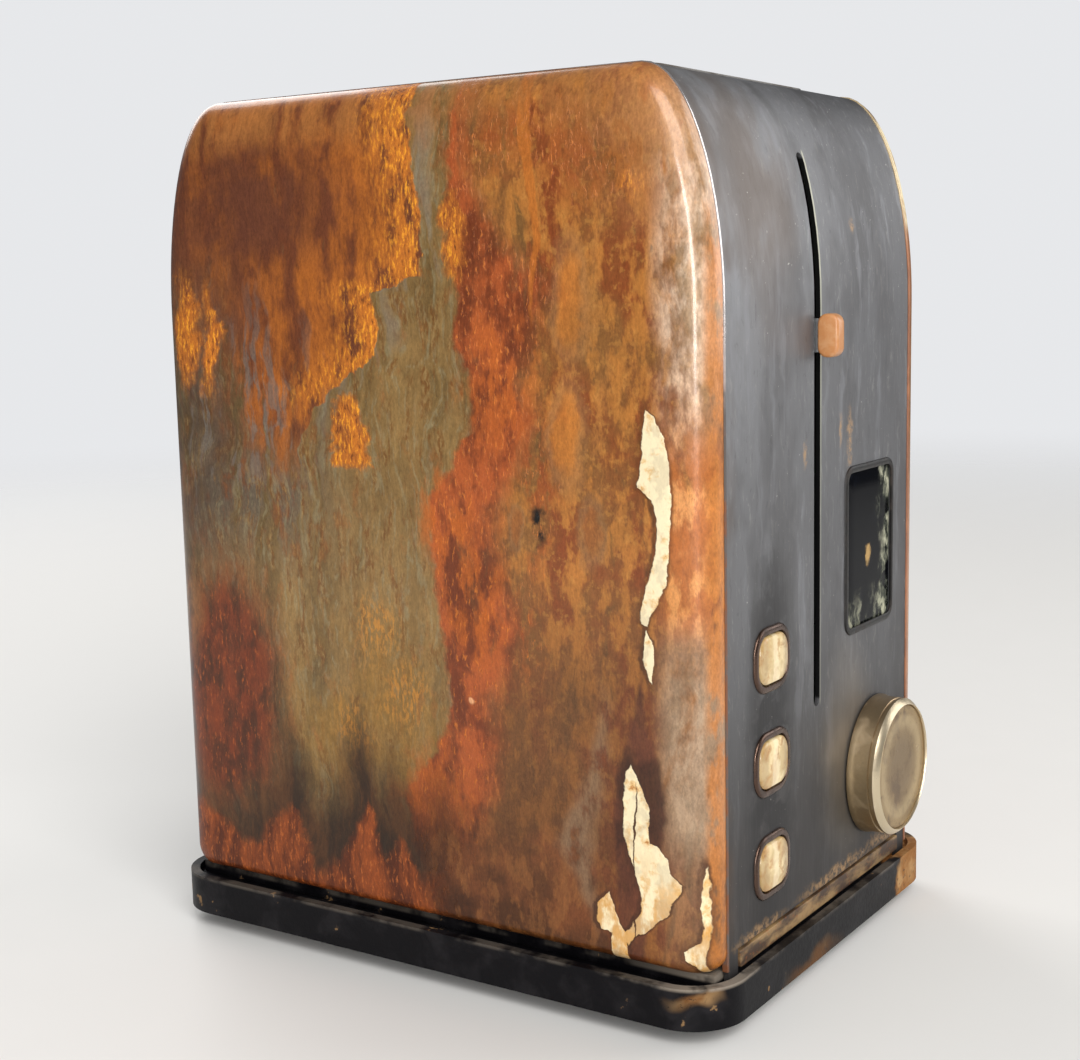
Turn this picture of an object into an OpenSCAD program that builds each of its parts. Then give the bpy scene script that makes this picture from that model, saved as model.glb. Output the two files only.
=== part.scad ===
// Two-slot pop-up toaster with a push-down lever, three buttons, a timer window and a browning dial.
// Millimetres. +Z is up, the table is at Z 0, the front panel faces -Y and the origin is the
// bottom centre of the whole toaster.

/* [Casing] */
// Length of the casing along the bread slots
case_l = 162; // [160:1:184]
// Width between the two side panels
cover_w = 108; // [107:1:124]
// Height from the table to the top of the cover
case_h = 219; // [215:1:232]
// How far each side panel stands out from the cover
panel_depth = 8; // [6:0.5:11]
// Length of the rounded top corner along the casing
corner_y = 19.5; // [15:0.5:22]
// Height of the rounded top corner
corner_z = 54; // [44:1:60]
// Width of the rolled edge of a side panel
roll_w = 13; // [9:0.5:14]
// Height of the roll along the bottom of a side panel
roll_low = 4; // [2:0.5:6]
// Radius of the bottom corners of a side panel
panel_corner = 5; // [3:0.5:7]
// Thickness of the cover's sheet steel
cover_sheet = 1.2; // [1:0.1:1.6]
// Thickness of a side panel's sheet steel
panel_sheet = 1; // [0.8:0.1:1.4]
// Width of the bright bead along each seam
bead_w = 0.9; // [0.6:0.1:1.4]
// How far the bead stands proud of the cover
bead_proud = 0.3; // [0.2:0.1:0.5]

/* [Base] */
// Height of the rubber feet below the base
foot_h = 4; // [3:0.5:6]
// Radius of a foot
foot_r = 7; // [5:0.5:9]
// Height of the base's rim above the feet
rim_h = 10; // [9:0.5:13]
// How far the rim stands above the base's deck
gutter_h = 2; // [1.5:0.5:3]
// How far the base stands out past the casing
base_lip = 3.6; // [3:0.1:6]
// Corner radius of the base in plan
base_r = 14; // [10:1:18]
// Wall of the base
base_wall = 2.4; // [2:0.1:2.8]
// Height of the plateau that carries the casing above the deck
plateau_h = 3.2; // [2.6:0.1:4]
// Thickness of the steel bottom plate
plate_t = 1.2; // [1:0.1:1.6]

/* [Bread slots] */
// Width of one bread slot
slot_w = 28; // [24:0.5:29]
// Distance from the middle of the toaster to the middle of a slot
slot_x = 25.5; // [25:0.5:27]
// How far the surround of the slots stands above the cover
surround_h = 1.6; // [1.2:0.1:2.4]
// Depth of the front bay, between the front panel and the front bulkhead
front_bay = 26; // [26:0.5:30]
// Depth of the rear bay
rear_bay = 13; // [12:0.5:16]

/* [Lever] */
// Place of the lever across the front
lever_x = -5; // [-6:0.5:-3]
// Height of the lever at rest
lever_z = 158; // [154:1:162]
// How far the lever travels down
lever_drop = 82; // [76:1:84]
// How far the lever lifts above rest to raise small slices
lever_lift = 30; // [20:1:32]
// Width of the slot that the lever runs in
lever_slot_w = 3.4; // [3.2:0.1:4]
// Room left in the slot past each end of the travel
lever_slot_end = 4; // [3:0.5:6]
// Thickness of the lever's steel arm
arm_t = 2; // [1.6:0.1:2.2]
// Height of the tab on the lever
tab_h = 10.4; // [9:0.2:13]
// Thickness of the tab
tab_t = 4.2; // [4:0.2:6]
// How far the tab reaches out of the front panel
tab_reach = 6.2; // [6:0.2:10]

/* [Buttons] */
// Place of the column of buttons across the front
button_x = -30.5; // [-32:0.5:-30]
// Height of the lowest button
button_z = 34; // [33:1:38]
// Distance from one button to the next
button_pitch = 25; // [22:0.5:26]
// Width of a button's cap
button_w = 14.6; // [12:0.2:16]
// Height of a button's cap
button_h = 11.4; // [10:0.2:13]
// Width of the bezel around a cap
bezel_w = 1.9; // [1.4:0.1:2.4]
// How far a cap stands out of the front panel
button_proud = 1.3; // [1.2:0.1:2.6]
// Travel of a button
button_travel = 1; // [0.6:0.1:1.1]

/* [Display] */
// Place of the middle of the window across the front
window_x = 27.5; // [26:0.5:29]
// Height of the middle of the window
window_z = 102.5; // [100:0.5:108]
// Width of the window's glass
window_w = 29; // [26:0.5:32]
// Height of the window's glass
window_h = 41; // [36:0.5:44]
// Corner radius of the glass
window_r = 3; // [2:0.5:5]

/* [Dial] */
// Place of the dial across the front
dial_x = 30.5; // [29:0.5:32]
// Height of the dial's axis
dial_z = 43.5; // [42:0.5:48]
// Radius of the dial
dial_r = 18; // [14:0.5:19]
// Thickness of the dial
dial_t = 8.4; // [8:0.2:13]
// Radius of the dial's shaft
shaft_r = 3; // [2.5:0.1:3.5]

/* [Crumb tray] */
// Width of the crumb tray
tray_w = 93; // [84:1:96]
// Height of the tray's walls
tray_wall_h = 3; // [2.4:0.2:4]
// Height of the lip at the front of the tray
lip_h = 4.2; // [3.6:0.1:4.6]

/* [Works] */
// Radius of the carriage's guide rail
rail_r = 2.5; // [2:0.1:2.6]
// Radius of a bread guard's pivot rod
pivot_r = 1.5; // [1.2:0.1:1.8]
// Radius of a bread guard's wires
wire_r = 0.8; // [0.6:0.1:0.9]
// Height of the bread guards' pivots
pivot_z = 31; // [30:0.5:34]
// Radius of the hole for the mains cord
cord_r = 3.7; // [3.2:0.1:4.2]

/* [Hidden] */
$fn = 48;

// Clearances
running = 0.05;      // a turning or sliding round fit, on the radius
slip = 0.3;          // a loose gap beside a piece that slides
play = 0.5;          // room around a piece that is only located
cut = 1;             // how far a cutter runs past the face it cuts
whisker = 0.02;      // thickness of a slice in a hull

// Front and rear planes, so that the whole toaster is centred on the origin
dial_gap = 0.6;
front_reach = max(dial_t + dial_gap, tab_reach);
rear_reach = base_lip;
yf = front_reach - (front_reach + case_l + rear_reach) / 2;
yr = yf + case_l;
yc = (yf + yr) / 2;
half_cover = cover_w / 2 - bead_w;
yi = yf + cover_sheet;          // inner face of the front wall
yri = yr - cover_sheet;         // inner face of the rear wall
zi = case_h - cover_sheet;      // underside of the cover's top

// Base levels
rim_z = foot_h + rim_h;
deck_z = rim_z - gutter_h;
deck_t = 2;
seat_z = deck_z + plateau_h;
base_w = cover_w + 2 * (panel_depth + base_lip);
base_l = case_l + 2 * base_lip;
plateau_over = 3;
foot_in = 19;
foot_x = base_w / 2 - foot_in;
foot_y = base_l / 2 - foot_in;
stem_r = 2.5;
screw_in = 34;

// Outline of the casing seen from the side, moved inwards by inset, down to height z0
corner_steps = 14;
function corner_arc(cy, ry, rz, from, to) = [for (k = [0 : corner_steps])
    let (a = from + (to - from) * k / corner_steps)
    [cy + ry * cos(a), case_h - corner_z + rz * sin(a)]];
function outline(inset, z0) = concat(
    [[yf + inset, z0]],
    corner_arc(yf + corner_y, corner_y - inset, corner_z - inset, 180, 90),
    corner_arc(yr - corner_y, corner_y - inset, corner_z - inset, 90, 0),
    [[yr - inset, z0]]);

// A flat shape drawn in Y and Z, given thickness from x0 to x1
module along_x(x0, x1) {
    translate([x0, 0, 0]) rotate([90, 0, 90]) linear_extrude(x1 - x0) children();
}

// A flat shape drawn in X and Z, given thickness from y0 to y1
module along_y(y0, y1) {
    translate([0, y1, 0]) rotate([90, 0, 0]) linear_extrude(y1 - y0) children();
}

module rounded_rect(w, h, r) {
    square([w - 2 * r, h], center = true);
    square([w, h - 2 * r], center = true);
    for (sx = [-1, 1], sy = [-1, 1])
        translate([sx * (w / 2 - r), sy * (h / 2 - r)]) circle(r);
}

module block(x0, x1, y0, y1, z0, z1) {
    translate([x0, y0, z0]) cube([x1 - x0, y1 - y0, z1 - z0]);
}

module rod_y(x, z, r, y0, y1) {
    translate([x, y1, z]) rotate([90, 0, 0]) cylinder(r = r, h = y1 - y0);
}

module rod_x(y, z, r, x0, x1) {
    translate([x0, y, z]) rotate([0, 90, 0]) cylinder(r = r, h = x1 - x0);
}

module rod_z(x, y, r, z0, z1) {
    translate([x, y, z0]) cylinder(r = r, h = z1 - z0);
}

// Lever slot
lever_slot_z0 = lever_z - lever_drop - tab_h / 2 - lever_slot_end;
lever_slot_z1 = lever_z + lever_lift + tab_h / 2 + 2 * lever_slot_end;

// Buttons and display
button_rows = [button_z, button_z + button_pitch, button_z + 2 * button_pitch];
button_r = 4;
bezel_gap = 0.25;
bezel_in_w = button_w + 2 * bezel_gap;
bezel_in_h = button_h + 2 * bezel_gap;
bezel_wall = 0.8;
bezel_proud = 0.7;
flange_t = 1;
flange_w = 1.2;
window_rim = 1.3;
window_sink = 0.3;
glass_t = 1.6;

// Dial
bush_r = shaft_r + 2;

// Crumb tray
tray_sheet = 0.8;
tray_z = seat_z + slip;
tray_z1 = tray_z + tray_wall_h;
lip_z = rim_z + slip;
lip_w = tray_w + 2.6;
lip_t = 1.2;
lip_out = 0.8;
notch_w = lip_w + 2 * play;
notch_z = max(lip_z + lip_h, tray_z1) + play;

// Bread slots
bulkhead_t = 1;
y_front_bulk = yf + front_bay;            // rear face of the front bulkhead
y_rear_bulk = yr - rear_bay;              // front face of the rear bulkhead
chamber_l = y_rear_bulk - y_front_bulk;
chamber_y = (y_rear_bulk + y_front_bulk) / 2;
slot_end = 2.5;
slot_l = chamber_l - 2 * slot_end;
throat_t = 0.8;
throat_drop = 7;
surround_w = 2 * (slot_x + slot_w / 2 + 5);
surround_l = slot_l + 9;
slot_round = 5;
guard_gap = 1.2;
guard_off = slot_w / 2 + guard_gap;
guard_top = case_h - cover_sheet - throat_drop - 7;

// Heating elements
card_t = 0.8;
card_z0 = pivot_z + 9;
card_z1 = guard_top - 4;
ribbon_t = 0.4;
ribbon_h = 1.8;
ribbon_count = 11;
shield_t = 0.6;
shield_gap = 2.2;
shield_off = half_cover - shield_gap;
card_off = shield_off - 3.4;

// Carriage
carriage_y = yf + 14.5;                   // front face of the carriage plate
carriage_t = 1.5;
bush_out = rail_r + 1.8;
rail_y = carriage_y + carriage_t + bush_out;
bush_h = 16;
rack_z = lever_z - 38;                    // middle of the racks at rest
rack_t = 2;
rack_h = 6;
rack_pin_r = 1;
rack_pin_half = 8;
rack_slot_w = rack_t + 2 * 0.7;
plate_z0 = rack_z - rack_h / 2 - 1;
plate_z1 = lever_z + 8;
leg_w = 9;
bridge_h = 20;
arm_h = 8;
armature_z = rack_z + 2;
armature_h = 4;
armature_half = 6;
armature_t = 2.5;
armature_reach = 9;
armature_lap = 6;
solenoid_top = armature_z - lever_drop - slip;
solenoid_z0 = tray_z1 + play + bulkhead_t + 1;
solenoid_w = 15;
solenoid_y0 = yi + 2;
solenoid_y1 = carriage_y - 1;
spring_wire = 0.5;
spring_r = rail_r + 1.3;
spring_z0 = solenoid_z0 + 0.1;
spring_z1 = lever_z - bush_h / 2;
spring_turns = 15;
rail_top = guard_top + 4;

// Boards
board_y = yf + 10;
board_t = 1.6;
board_half = 15.5;
board_pad = 9;
switch_d = 3;
button_stem_r = 1.5;
stem_entry = 1;
standoff_r = 2;

// Cord outlet
cord_x = 34;
cord_z = seat_z + 22;
cord_flange = 2;

module cover() color("dimgray") difference() {
    along_x(-half_cover, half_cover) difference() {
        polygon(outline(0, deck_z));
        polygon(outline(cover_sheet, deck_z - cut));
    }
    // lever slot, running up into the rounded corner
    along_y(yf - cut, yf + corner_y) translate([lever_x, (lever_slot_z0 + lever_slot_z1) / 2])
        rounded_rect(lever_slot_w, lever_slot_z1 - lever_slot_z0, lever_slot_w / 2 - 0.01);
    for (z = button_rows)
        along_y(yf - cut, yi + cut) translate([button_x, z]) bezel_shape(bezel_wall + running);
    along_y(yf - cut, yi + cut) translate([window_x, window_z])
        rounded_rect(window_w + 2 * running, window_h + 2 * running, window_r);
    rod_y(dial_x, dial_z, bush_r + running, yf - cut, yi + cut);
    // notch for the lip of the crumb tray
    block(-notch_w / 2, notch_w / 2, yf - cut, yi + cut, deck_z - cut, notch_z);
    for (s = [-1, 1]) translate([s * slot_x, 0, 0])
        over_slots(slot_w + 2 * (throat_t + running), slot_l + 2 * (throat_t + running),
            slot_round, zi - throat_drop);
    rear_openings();
}

vent_rows = 6;
vent_pitch = 9;
vent_h = 3.2;
vent_w = 44;
rear_screw_x = half_cover - 9;
rear_screw_z = [seat_z + 40, case_h - corner_z - 12];
rear_screw_r = 1.6;
module rear_openings() {
    for (k = [0 : vent_rows - 1])
        along_y(yri - cut, yr + cut) translate([-12, seat_z + 60 + k * vent_pitch])
            rounded_rect(vent_w, vent_h, vent_h / 2 - 0.01);
    rod_y(cord_x, cord_z, cord_r + 1.5 + running, yri - cut, yr + cut);
    for (s = [-1, 1], z = rear_screw_z)
        rod_y(s * rear_screw_x, z, rear_screw_r + running, yri - cut, yr + cut);
}

// One side panel, pressed as a pan with rolled edges; drawn on the +X side
roll_steps = 6;
roll_square = 2.5;                        // 2 is a plain quarter of an ellipse, more is squarer
low_steps = 4;
function low_corner(y, z, r, from) = [for (k = [0 : low_steps])
    let (a = from + 90 * k / low_steps) [y + r * cos(a), z + r * sin(a)]];
function pan_outline(inset, rise) =
    let (r = panel_corner, z = seat_z + rise + r, top = outline(inset, z))
    concat(low_corner(yr - inset - r, z, r, -90), [for (k = [len(top) - 2 : -1 : 1]) top[k]],
        low_corner(yf + inset + r, z, r, 180));
module pan(depth, inset, start) hull() for (k = [0 : roll_steps])
    let (a = 90 * k / roll_steps, out = pow(sin(a), 2 / roll_square),
        roll = 1 - pow(max(0, cos(a)), 2 / roll_square))
    translate([k == 0 ? start : cover_w / 2 + depth * out, 0, 0]) rotate([90, 0, 90])
        linear_extrude(whisker) polygon(pan_outline(inset + roll_w * roll, inset + roll_low * roll));
module side_panel() difference() {
    pan(panel_depth - whisker, 0, cover_w / 2);
    pan(panel_depth - panel_sheet, panel_sheet, cover_w / 2 - cut);
}
module left_side_panel() color("sienna") mirror([1, 0, 0]) side_panel();
module right_side_panel() color("sienna") side_panel();

module seam_bead(x0) color("silver") along_x(x0, x0 + bead_w) difference() {
    polygon(outline(-bead_proud, seat_z));
    polygon(outline(cover_sheet, seat_z - cut));
}
module left_seam_bead() seam_bead(-cover_w / 2);
module right_seam_bead() seam_bead(cover_w / 2 - bead_w);

// A rim laid over the cover, following its curve, with a throat down through each slot
module over_slots(w, l, r, z0) translate([0, chamber_y, z0])
    linear_extrude(case_h + 2 * surround_h - z0) rounded_rect(w, l, r);
module slot_surround() color("gray") difference() {
    intersection() {
        union() {
            difference() {
                over_slots(surround_w, surround_l, slot_round + 4, case_h - corner_z);
                along_x(-half_cover, half_cover) polygon(outline(0, seat_z));
            }
            for (s = [-1, 1]) translate([s * slot_x, 0, 0])
                over_slots(slot_w + 2 * throat_t, slot_l + 2 * throat_t, slot_round,
                    zi - throat_drop);
        }
        along_x(-half_cover, half_cover) polygon(outline(-surround_h, seat_z));
    }
    for (s = [-1, 1]) translate([s * slot_x, 0, 0])
        over_slots(slot_w, slot_l, slot_round - throat_t, zi - throat_drop - cut);
}

module plan(w, l, r, z0, z1) {
    translate([0, yc, z0]) linear_extrude(z1 - z0) rounded_rect(w, l, r);
}
module at_corners(x, y) {
    for (sx = [-1, 1], sy = [-1, 1]) translate([sx * x, yc + sy * y, 0]) children();
}

boss_r = 4;
screw_x = foot_x;
screw_y = base_l / 2 - screw_in;
module base() color("#242424") difference() {
    union() {
        difference() {
            plan(base_w, base_l, base_r, foot_h, rim_z);
            plan(base_w - 2 * base_wall, base_l - 2 * base_wall, base_r - base_wall,
                deck_z, rim_z + cut);
            plan(base_w - 2 * base_wall, base_l - 2 * base_wall, base_r - base_wall,
                foot_h - cut, deck_z - deck_t);
        }
        block(-cover_w / 2 - plateau_over, cover_w / 2 + plateau_over,
            yi + slip, yri - slip, deck_z - deck_t, seat_z);
        at_corners(screw_x, screw_y) rod_z(0, 0, boss_r, foot_h + plate_t, deck_z - deck_t / 2);
    }
    at_corners(screw_x, screw_y) rod_z(0, 0, screw_r + running, foot_h, deck_z - deck_t / 2);
}

screw_r = 1.5;
plate_gap = 0.2;
module bottom_plate() color("#3a3a3a") difference() {
    plan(base_w - 2 * (base_wall + plate_gap), base_l - 2 * (base_wall + plate_gap),
        base_r - base_wall - plate_gap, foot_h, foot_h + plate_t);
    at_corners(foot_x, foot_y) rod_z(0, 0, stem_r + running, foot_h - cut, foot_h + plate_t + cut);
    at_corners(screw_x, screw_y) rod_z(0, 0, screw_r + running, foot_h - cut, foot_h + plate_t + cut);
    for (k = [-3 : 3], s = [-1, 1])
        translate([s * base_w / 5, yc + k * base_l / 12, foot_h - cut])
            linear_extrude(plate_t + 2 * cut) rounded_rect(base_w / 5, 4, 1.9);
}

module feet() color("#181818") at_corners(foot_x, foot_y) {
    cylinder(r1 = foot_r - 1, r2 = foot_r, h = foot_h);
    rod_z(0, 0, stem_r, foot_h, foot_h + plate_t + 1.4);
}

module base_screws() color("silver") at_corners(screw_x, screw_y) {
    rod_z(0, 0, screw_r, foot_h, deck_z - deck_t / 2 - play);
    rod_z(0, 0, 2 * screw_r, foot_h - 1.2, foot_h);
}

module rear_screws() color("silver") for (s = [-1, 1], z = rear_screw_z) {
    rod_y(s * rear_screw_x, z, rear_screw_r, y_rear_bulk - play, yr);
    rod_y(s * rear_screw_x, z, 2 * rear_screw_r, yr, yr + 1.6);
}

module cord_bush() color("#1c1c1c") difference() {
    union() {
        rod_y(cord_x, cord_z, cord_r + 1.5, yri - 3.5, yr);
        rod_y(cord_x, cord_z, cord_r + 3.5, yr, yr + cord_flange);
    }
    rod_y(cord_x, cord_z, cord_r, yri - 3.5 - cut, yr + cord_flange + cut);
}

terminal_d = 8;
terminal_z = max(cord_z, pivot_z + pivot_r + 6 + play);
module terminal_block() color("ivory") difference() {
    block(-6, 20, y_rear_bulk + bulkhead_t, y_rear_bulk + bulkhead_t + terminal_d,
        terminal_z - 6, terminal_z + 6);
    for (k = [-1 : 1])
        rod_x(y_rear_bulk + bulkhead_t + terminal_d / 2, terminal_z + 4 * k, 1.3, 8, 20 + cut);
}

module crumb_tray() color("#6b5a4a") difference() {
    block(-tray_w / 2, tray_w / 2, yi + slip, y_rear_bulk - play, tray_z, tray_z1);
    block(-tray_w / 2 + tray_sheet, tray_w / 2 - tray_sheet, yi + slip + tray_sheet,
        y_rear_bulk - play - tray_sheet, tray_z + tray_sheet, tray_z1 + cut);
}

module tray_lip() color("#a5764a") {
    along_y(yi + slip - lip_t - lip_out, yi + slip) translate([0, lip_z + lip_h / 2])
        rounded_rect(lip_w, lip_h, 0.6);
}

rack_slot_z0 = rack_z - lever_drop - rack_h / 2 - 2;
rack_slot_z1 = rack_z + lever_lift + rack_h / 2 + 2;
module bulkhead(y0, tray_gate) difference() {
    intersection() {
        block(-half_cover + play, half_cover - play, y0, y0 + bulkhead_t, seat_z, zi);
        along_x(-half_cover, half_cover) polygon(outline(cover_sheet, seat_z));
    }
    for (s = [-1, 1])
        block(s * slot_x - rack_slot_w / 2, s * slot_x + rack_slot_w / 2,
            y0 - cut, y0 + bulkhead_t + cut, rack_slot_z0, rack_slot_z1);
    for (s = [-1, 1], t = [-1, 1])
        rod_y(s * slot_x + t * guard_off, pivot_z, pivot_r + running, y0 - cut,
            y0 + bulkhead_t + cut);
    if (tray_gate) block(-tray_w / 2 - play, tray_w / 2 + play, y0 - cut,
        y0 + bulkhead_t + cut, seat_z - cut, tray_z1 + play);
}
module front_bulkhead() color("lightgray") bulkhead(y_front_bulk - bulkhead_t, true);
module rear_bulkhead() color("lightgray") difference() {
    bulkhead(y_rear_bulk, false);
    for (s = [-1, 1], z = rear_screw_z)
        rod_y(s * rear_screw_x, z, rear_screw_r + running, y_rear_bulk - cut,
            y_rear_bulk + bulkhead_t + cut);
}

module chamber_sheet(x, t, z0, z1) {
    block(x - t / 2, x + t / 2, y_front_bulk, y_rear_bulk, z0, z1);
}
module left_heat_shield() color("gainsboro") chamber_sheet(-shield_off, shield_t, card_z0, card_z1 + 3);
module right_heat_shield() color("gainsboro") chamber_sheet(shield_off, shield_t, card_z0, card_z1 + 3);
module left_element_card() color("khaki") chamber_sheet(-card_off, card_t, card_z0, card_z1);
module centre_element_card() color("khaki") chamber_sheet(0, card_t, card_z0, card_z1);
module right_element_card() color("khaki") chamber_sheet(card_off, card_t, card_z0, card_z1);

ribbon_pitch = (card_z1 - card_z0) / ribbon_count;
module element_ribbons() color("dimgray")
    for (x = [-card_off, 0, card_off], s = [-1, 1], k = [0 : ribbon_count - 1])
        translate([x + s * (card_t + ribbon_t) / 2, chamber_y, card_z0 + (k + 0.5) * ribbon_pitch])
            cube([ribbon_t, chamber_l - 12, ribbon_h], center = true);

// A bread guard: upright wires between a pivot rod and a top rod
guard_wires = 9;
guard_end = 3;
module bread_guard(x) color("silver") {
    wire_l = chamber_l - 2 * guard_end;
    rod_y(x, pivot_z, pivot_r, y_front_bulk - bulkhead_t - 1, y_rear_bulk + bulkhead_t + 1);
    rod_y(x, guard_top, wire_r, y_front_bulk + guard_end, y_rear_bulk - guard_end);
    for (k = [0 : guard_wires - 1])
        rod_z(x, y_front_bulk + guard_end + wire_l * (k + 0.5) / guard_wires, wire_r,
            pivot_z, guard_top);
}
module left_slot_outer_guard() bread_guard(-slot_x - guard_off);
module left_slot_inner_guard() bread_guard(-slot_x + guard_off);
module right_slot_inner_guard() bread_guard(slot_x - guard_off);
module right_slot_outer_guard() bread_guard(slot_x + guard_off);

module carriage_plate() color("lightsteelblue") difference() {
    block(-slot_x - leg_w / 2, slot_x + leg_w / 2, carriage_y, carriage_y + carriage_t,
        plate_z0, plate_z1);
    block(-slot_x + leg_w / 2, slot_x - leg_w / 2, carriage_y - cut, carriage_y + carriage_t + cut,
        plate_z0 - cut, plate_z1 - bridge_h);
    block(lever_x - arm_t / 2 - running, lever_x + arm_t / 2 + running,
        carriage_y - cut, carriage_y + carriage_t + cut, lever_z - arm_h / 2 - running,
        lever_z + arm_h / 2 + running);
}

module carriage_bush() color("tan") difference() {
    union() {
        rod_z(lever_x, rail_y, bush_out, lever_z - bush_h / 2, lever_z + bush_h / 2);
        block(lever_x - bush_out, lever_x + bush_out, carriage_y + carriage_t, rail_y,
            lever_z - bush_h / 2, lever_z + bush_h / 2);
    }
    rod_z(lever_x, rail_y, rail_r + running, lever_z - bush_h / 2 - cut, lever_z + bush_h / 2 + cut);
}

// A bread rack: a strip on edge with cross pins that the slice stands on
rack_pins = 6;
module rack(x) color("silver") {
    y0 = carriage_y + carriage_t;
    block(x - rack_t / 2, x + rack_t / 2, y0, y_rear_bulk + bulkhead_t + 2,
        rack_z - rack_h / 2, rack_z + rack_h / 2);
    for (k = [0 : rack_pins - 1])
        rod_x(y_front_bulk + chamber_l * (k + 0.5) / rack_pins, rack_z + rack_h / 2 - rack_pin_r,
            rack_pin_r, x - rack_pin_half, x + rack_pin_half);
}
module left_rack() rack(-slot_x);
module right_rack() rack(slot_x);

arm_tip = yf - 3.5;
module lever_arm() color("silver")
    block(lever_x - arm_t / 2, lever_x + arm_t / 2, arm_tip, carriage_y + carriage_t,
        lever_z - arm_h / 2, lever_z + arm_h / 2);

tab_gap = 0.8;
module lever_tab() color("peru") difference() {
    along_x(lever_x - tab_t / 2, lever_x + tab_t / 2) union() {
        translate([yf - (tab_reach + tab_gap) / 2, lever_z])
            rounded_rect(tab_reach - tab_gap, tab_h, 2.6);
        translate([yf - (tab_reach + 3 * tab_gap) / 4, lever_z])
            square([(tab_reach - tab_gap) / 2, tab_h], center = true);
    }
    block(lever_x - arm_t / 2 - running, lever_x + arm_t / 2 + running, arm_tip - running,
        yf, lever_z - arm_h / 2 - running, lever_z + arm_h / 2 + running);
}

module armature() color("slategray") {
    block(lever_x - armature_half, lever_x + armature_half, carriage_y - armature_t, carriage_y,
        armature_z, plate_z1 - bridge_h + armature_lap);
    block(lever_x - armature_half, lever_x + armature_half, carriage_y - armature_reach,
        carriage_y - armature_t, armature_z, armature_z + armature_h);
}

module guide_rail() color("silver")
    rod_z(lever_x, rail_y, rail_r, solenoid_z0 - bulkhead_t, rail_top);

bracket_half = 8;
module rail_bracket(z, y0) difference() {
    block(lever_x - bracket_half, lever_x + bracket_half, y0, y_front_bulk - bulkhead_t,
        z, z + bulkhead_t);
    rod_z(lever_x, rail_y, rail_r + running, z - cut, z + bulkhead_t + cut);
}
module rail_brackets() color("lightgray") {
    rail_bracket(solenoid_z0 - bulkhead_t, solenoid_y0);
    rail_bracket(rail_top - bulkhead_t, rail_y - rail_r - 2);
}

// Points of a coil of round wire, and the faces that join its rings
coil_sides = 6;
coil_steps = 10;
function coil_rings(turns) = turns * coil_steps;
function coil_points(r, wire, z0, z1, turns) = [for (k = [0 : coil_rings(turns)], s = [0 : coil_sides - 1])
    let (a = 360 * k / coil_steps, b = 360 * s / coil_sides,
        z = z0 + wire + (z1 - z0 - 2 * wire) * k / coil_rings(turns))
    [(r + wire * cos(b)) * cos(a), (r + wire * cos(b)) * sin(a), z + wire * sin(b)]];
function coil_faces(turns) = concat(
    [[for (s = [coil_sides - 1 : -1 : 0]) s]],
    [for (k = [0 : coil_rings(turns) - 1], s = [0 : coil_sides - 1])
        let (i = k * coil_sides, j = (s + 1) % coil_sides)
        [i + s, i + j, i + coil_sides + j, i + coil_sides + s]],
    [[for (s = [0 : coil_sides - 1]) coil_rings(turns) * coil_sides + s]]);
module lift_spring() color("silver") translate([lever_x, rail_y, 0])
    polyhedron(coil_points(spring_r, spring_wire, spring_z0, spring_z1 - 0.1, spring_turns),
        coil_faces(spring_turns), convexity = 10);

module solenoid_yoke() color("slategray") difference() {
    block(lever_x - solenoid_w / 2, lever_x + solenoid_w / 2, solenoid_y0, solenoid_y1,
        solenoid_z0, solenoid_top);
    block(lever_x - solenoid_w / 2 + 2, lever_x + solenoid_w / 2 - 2, solenoid_y0 - cut,
        solenoid_y1 + cut, solenoid_z0 + 2, solenoid_top - 2);
}
module solenoid_coil() color("chocolate") difference() {
    rod_z(lever_x, (solenoid_y0 + solenoid_y1) / 2, min(5, solenoid_w / 2 - 2),
        solenoid_z0 + 2, solenoid_top - 2);
    rod_z(lever_x, (solenoid_y0 + solenoid_y1) / 2, 2, solenoid_z0 + 2 - cut, solenoid_top - 2 + cut);
}

module mains_switch() color("ivory")
    block(slot_x - leg_w / 2, slot_x + leg_w / 2, y_front_bulk - bulkhead_t - 9,
        y_front_bulk - bulkhead_t, tray_z1 + 1, plate_z0 - lever_drop - 1);

// The two boards of the front bay and what is on them
board_z0 = button_z - board_pad;
module board(x0, x1, z1) block(x0, x1, board_y, board_y + board_t, board_z0, z1);
button_board_x0 = button_x - board_half;
button_board_x1 = button_x + board_half - 2;
display_board_x0 = window_x - board_half - 2;
display_board_x1 = window_x + board_half + 2;
button_board_z1 = button_rows[2] + board_pad;
display_board_z1 = window_z + window_h / 2 + 3;
module button_board() color("darkgreen") board(button_board_x0, button_board_x1, button_board_z1);
module display_board() color("darkgreen") board(display_board_x0, display_board_x1, display_board_z1);

module tact_switches() color("#303030") for (z = button_rows) difference() {
    block(button_x - 3, button_x + 3, board_y - switch_d, board_y, z - 3, z + 3);
    rod_y(button_x, z, button_stem_r + running, board_y - switch_d - cut,
        board_y - switch_d + stem_entry + button_travel + slip);
}

module standoff(x, z) rod_y(x, z, standoff_r, yi, board_y);
module board_standoffs() color("gray") {
    for (x = [button_board_x0 + standoff_r, button_board_x1 - standoff_r])
        for (z = [button_z + button_pitch / 2, button_z + 3 * button_pitch / 2]) standoff(x, z);
    for (x = [display_board_x0 + standoff_r, display_board_x1 - standoff_r])
        for (z = [board_z0 + standoff_r, (window_z - window_h / 2 + dial_z + dial_r) / 2])
            standoff(x, z);
}

module display_module() color("#2d3a30")
    block(window_x - window_w / 2 + 1, window_x + window_w / 2 - 1, yf + window_sink + glass_t,
        board_y, window_z - window_h / 2 + 1, window_z + window_h / 2 - 1);

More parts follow.
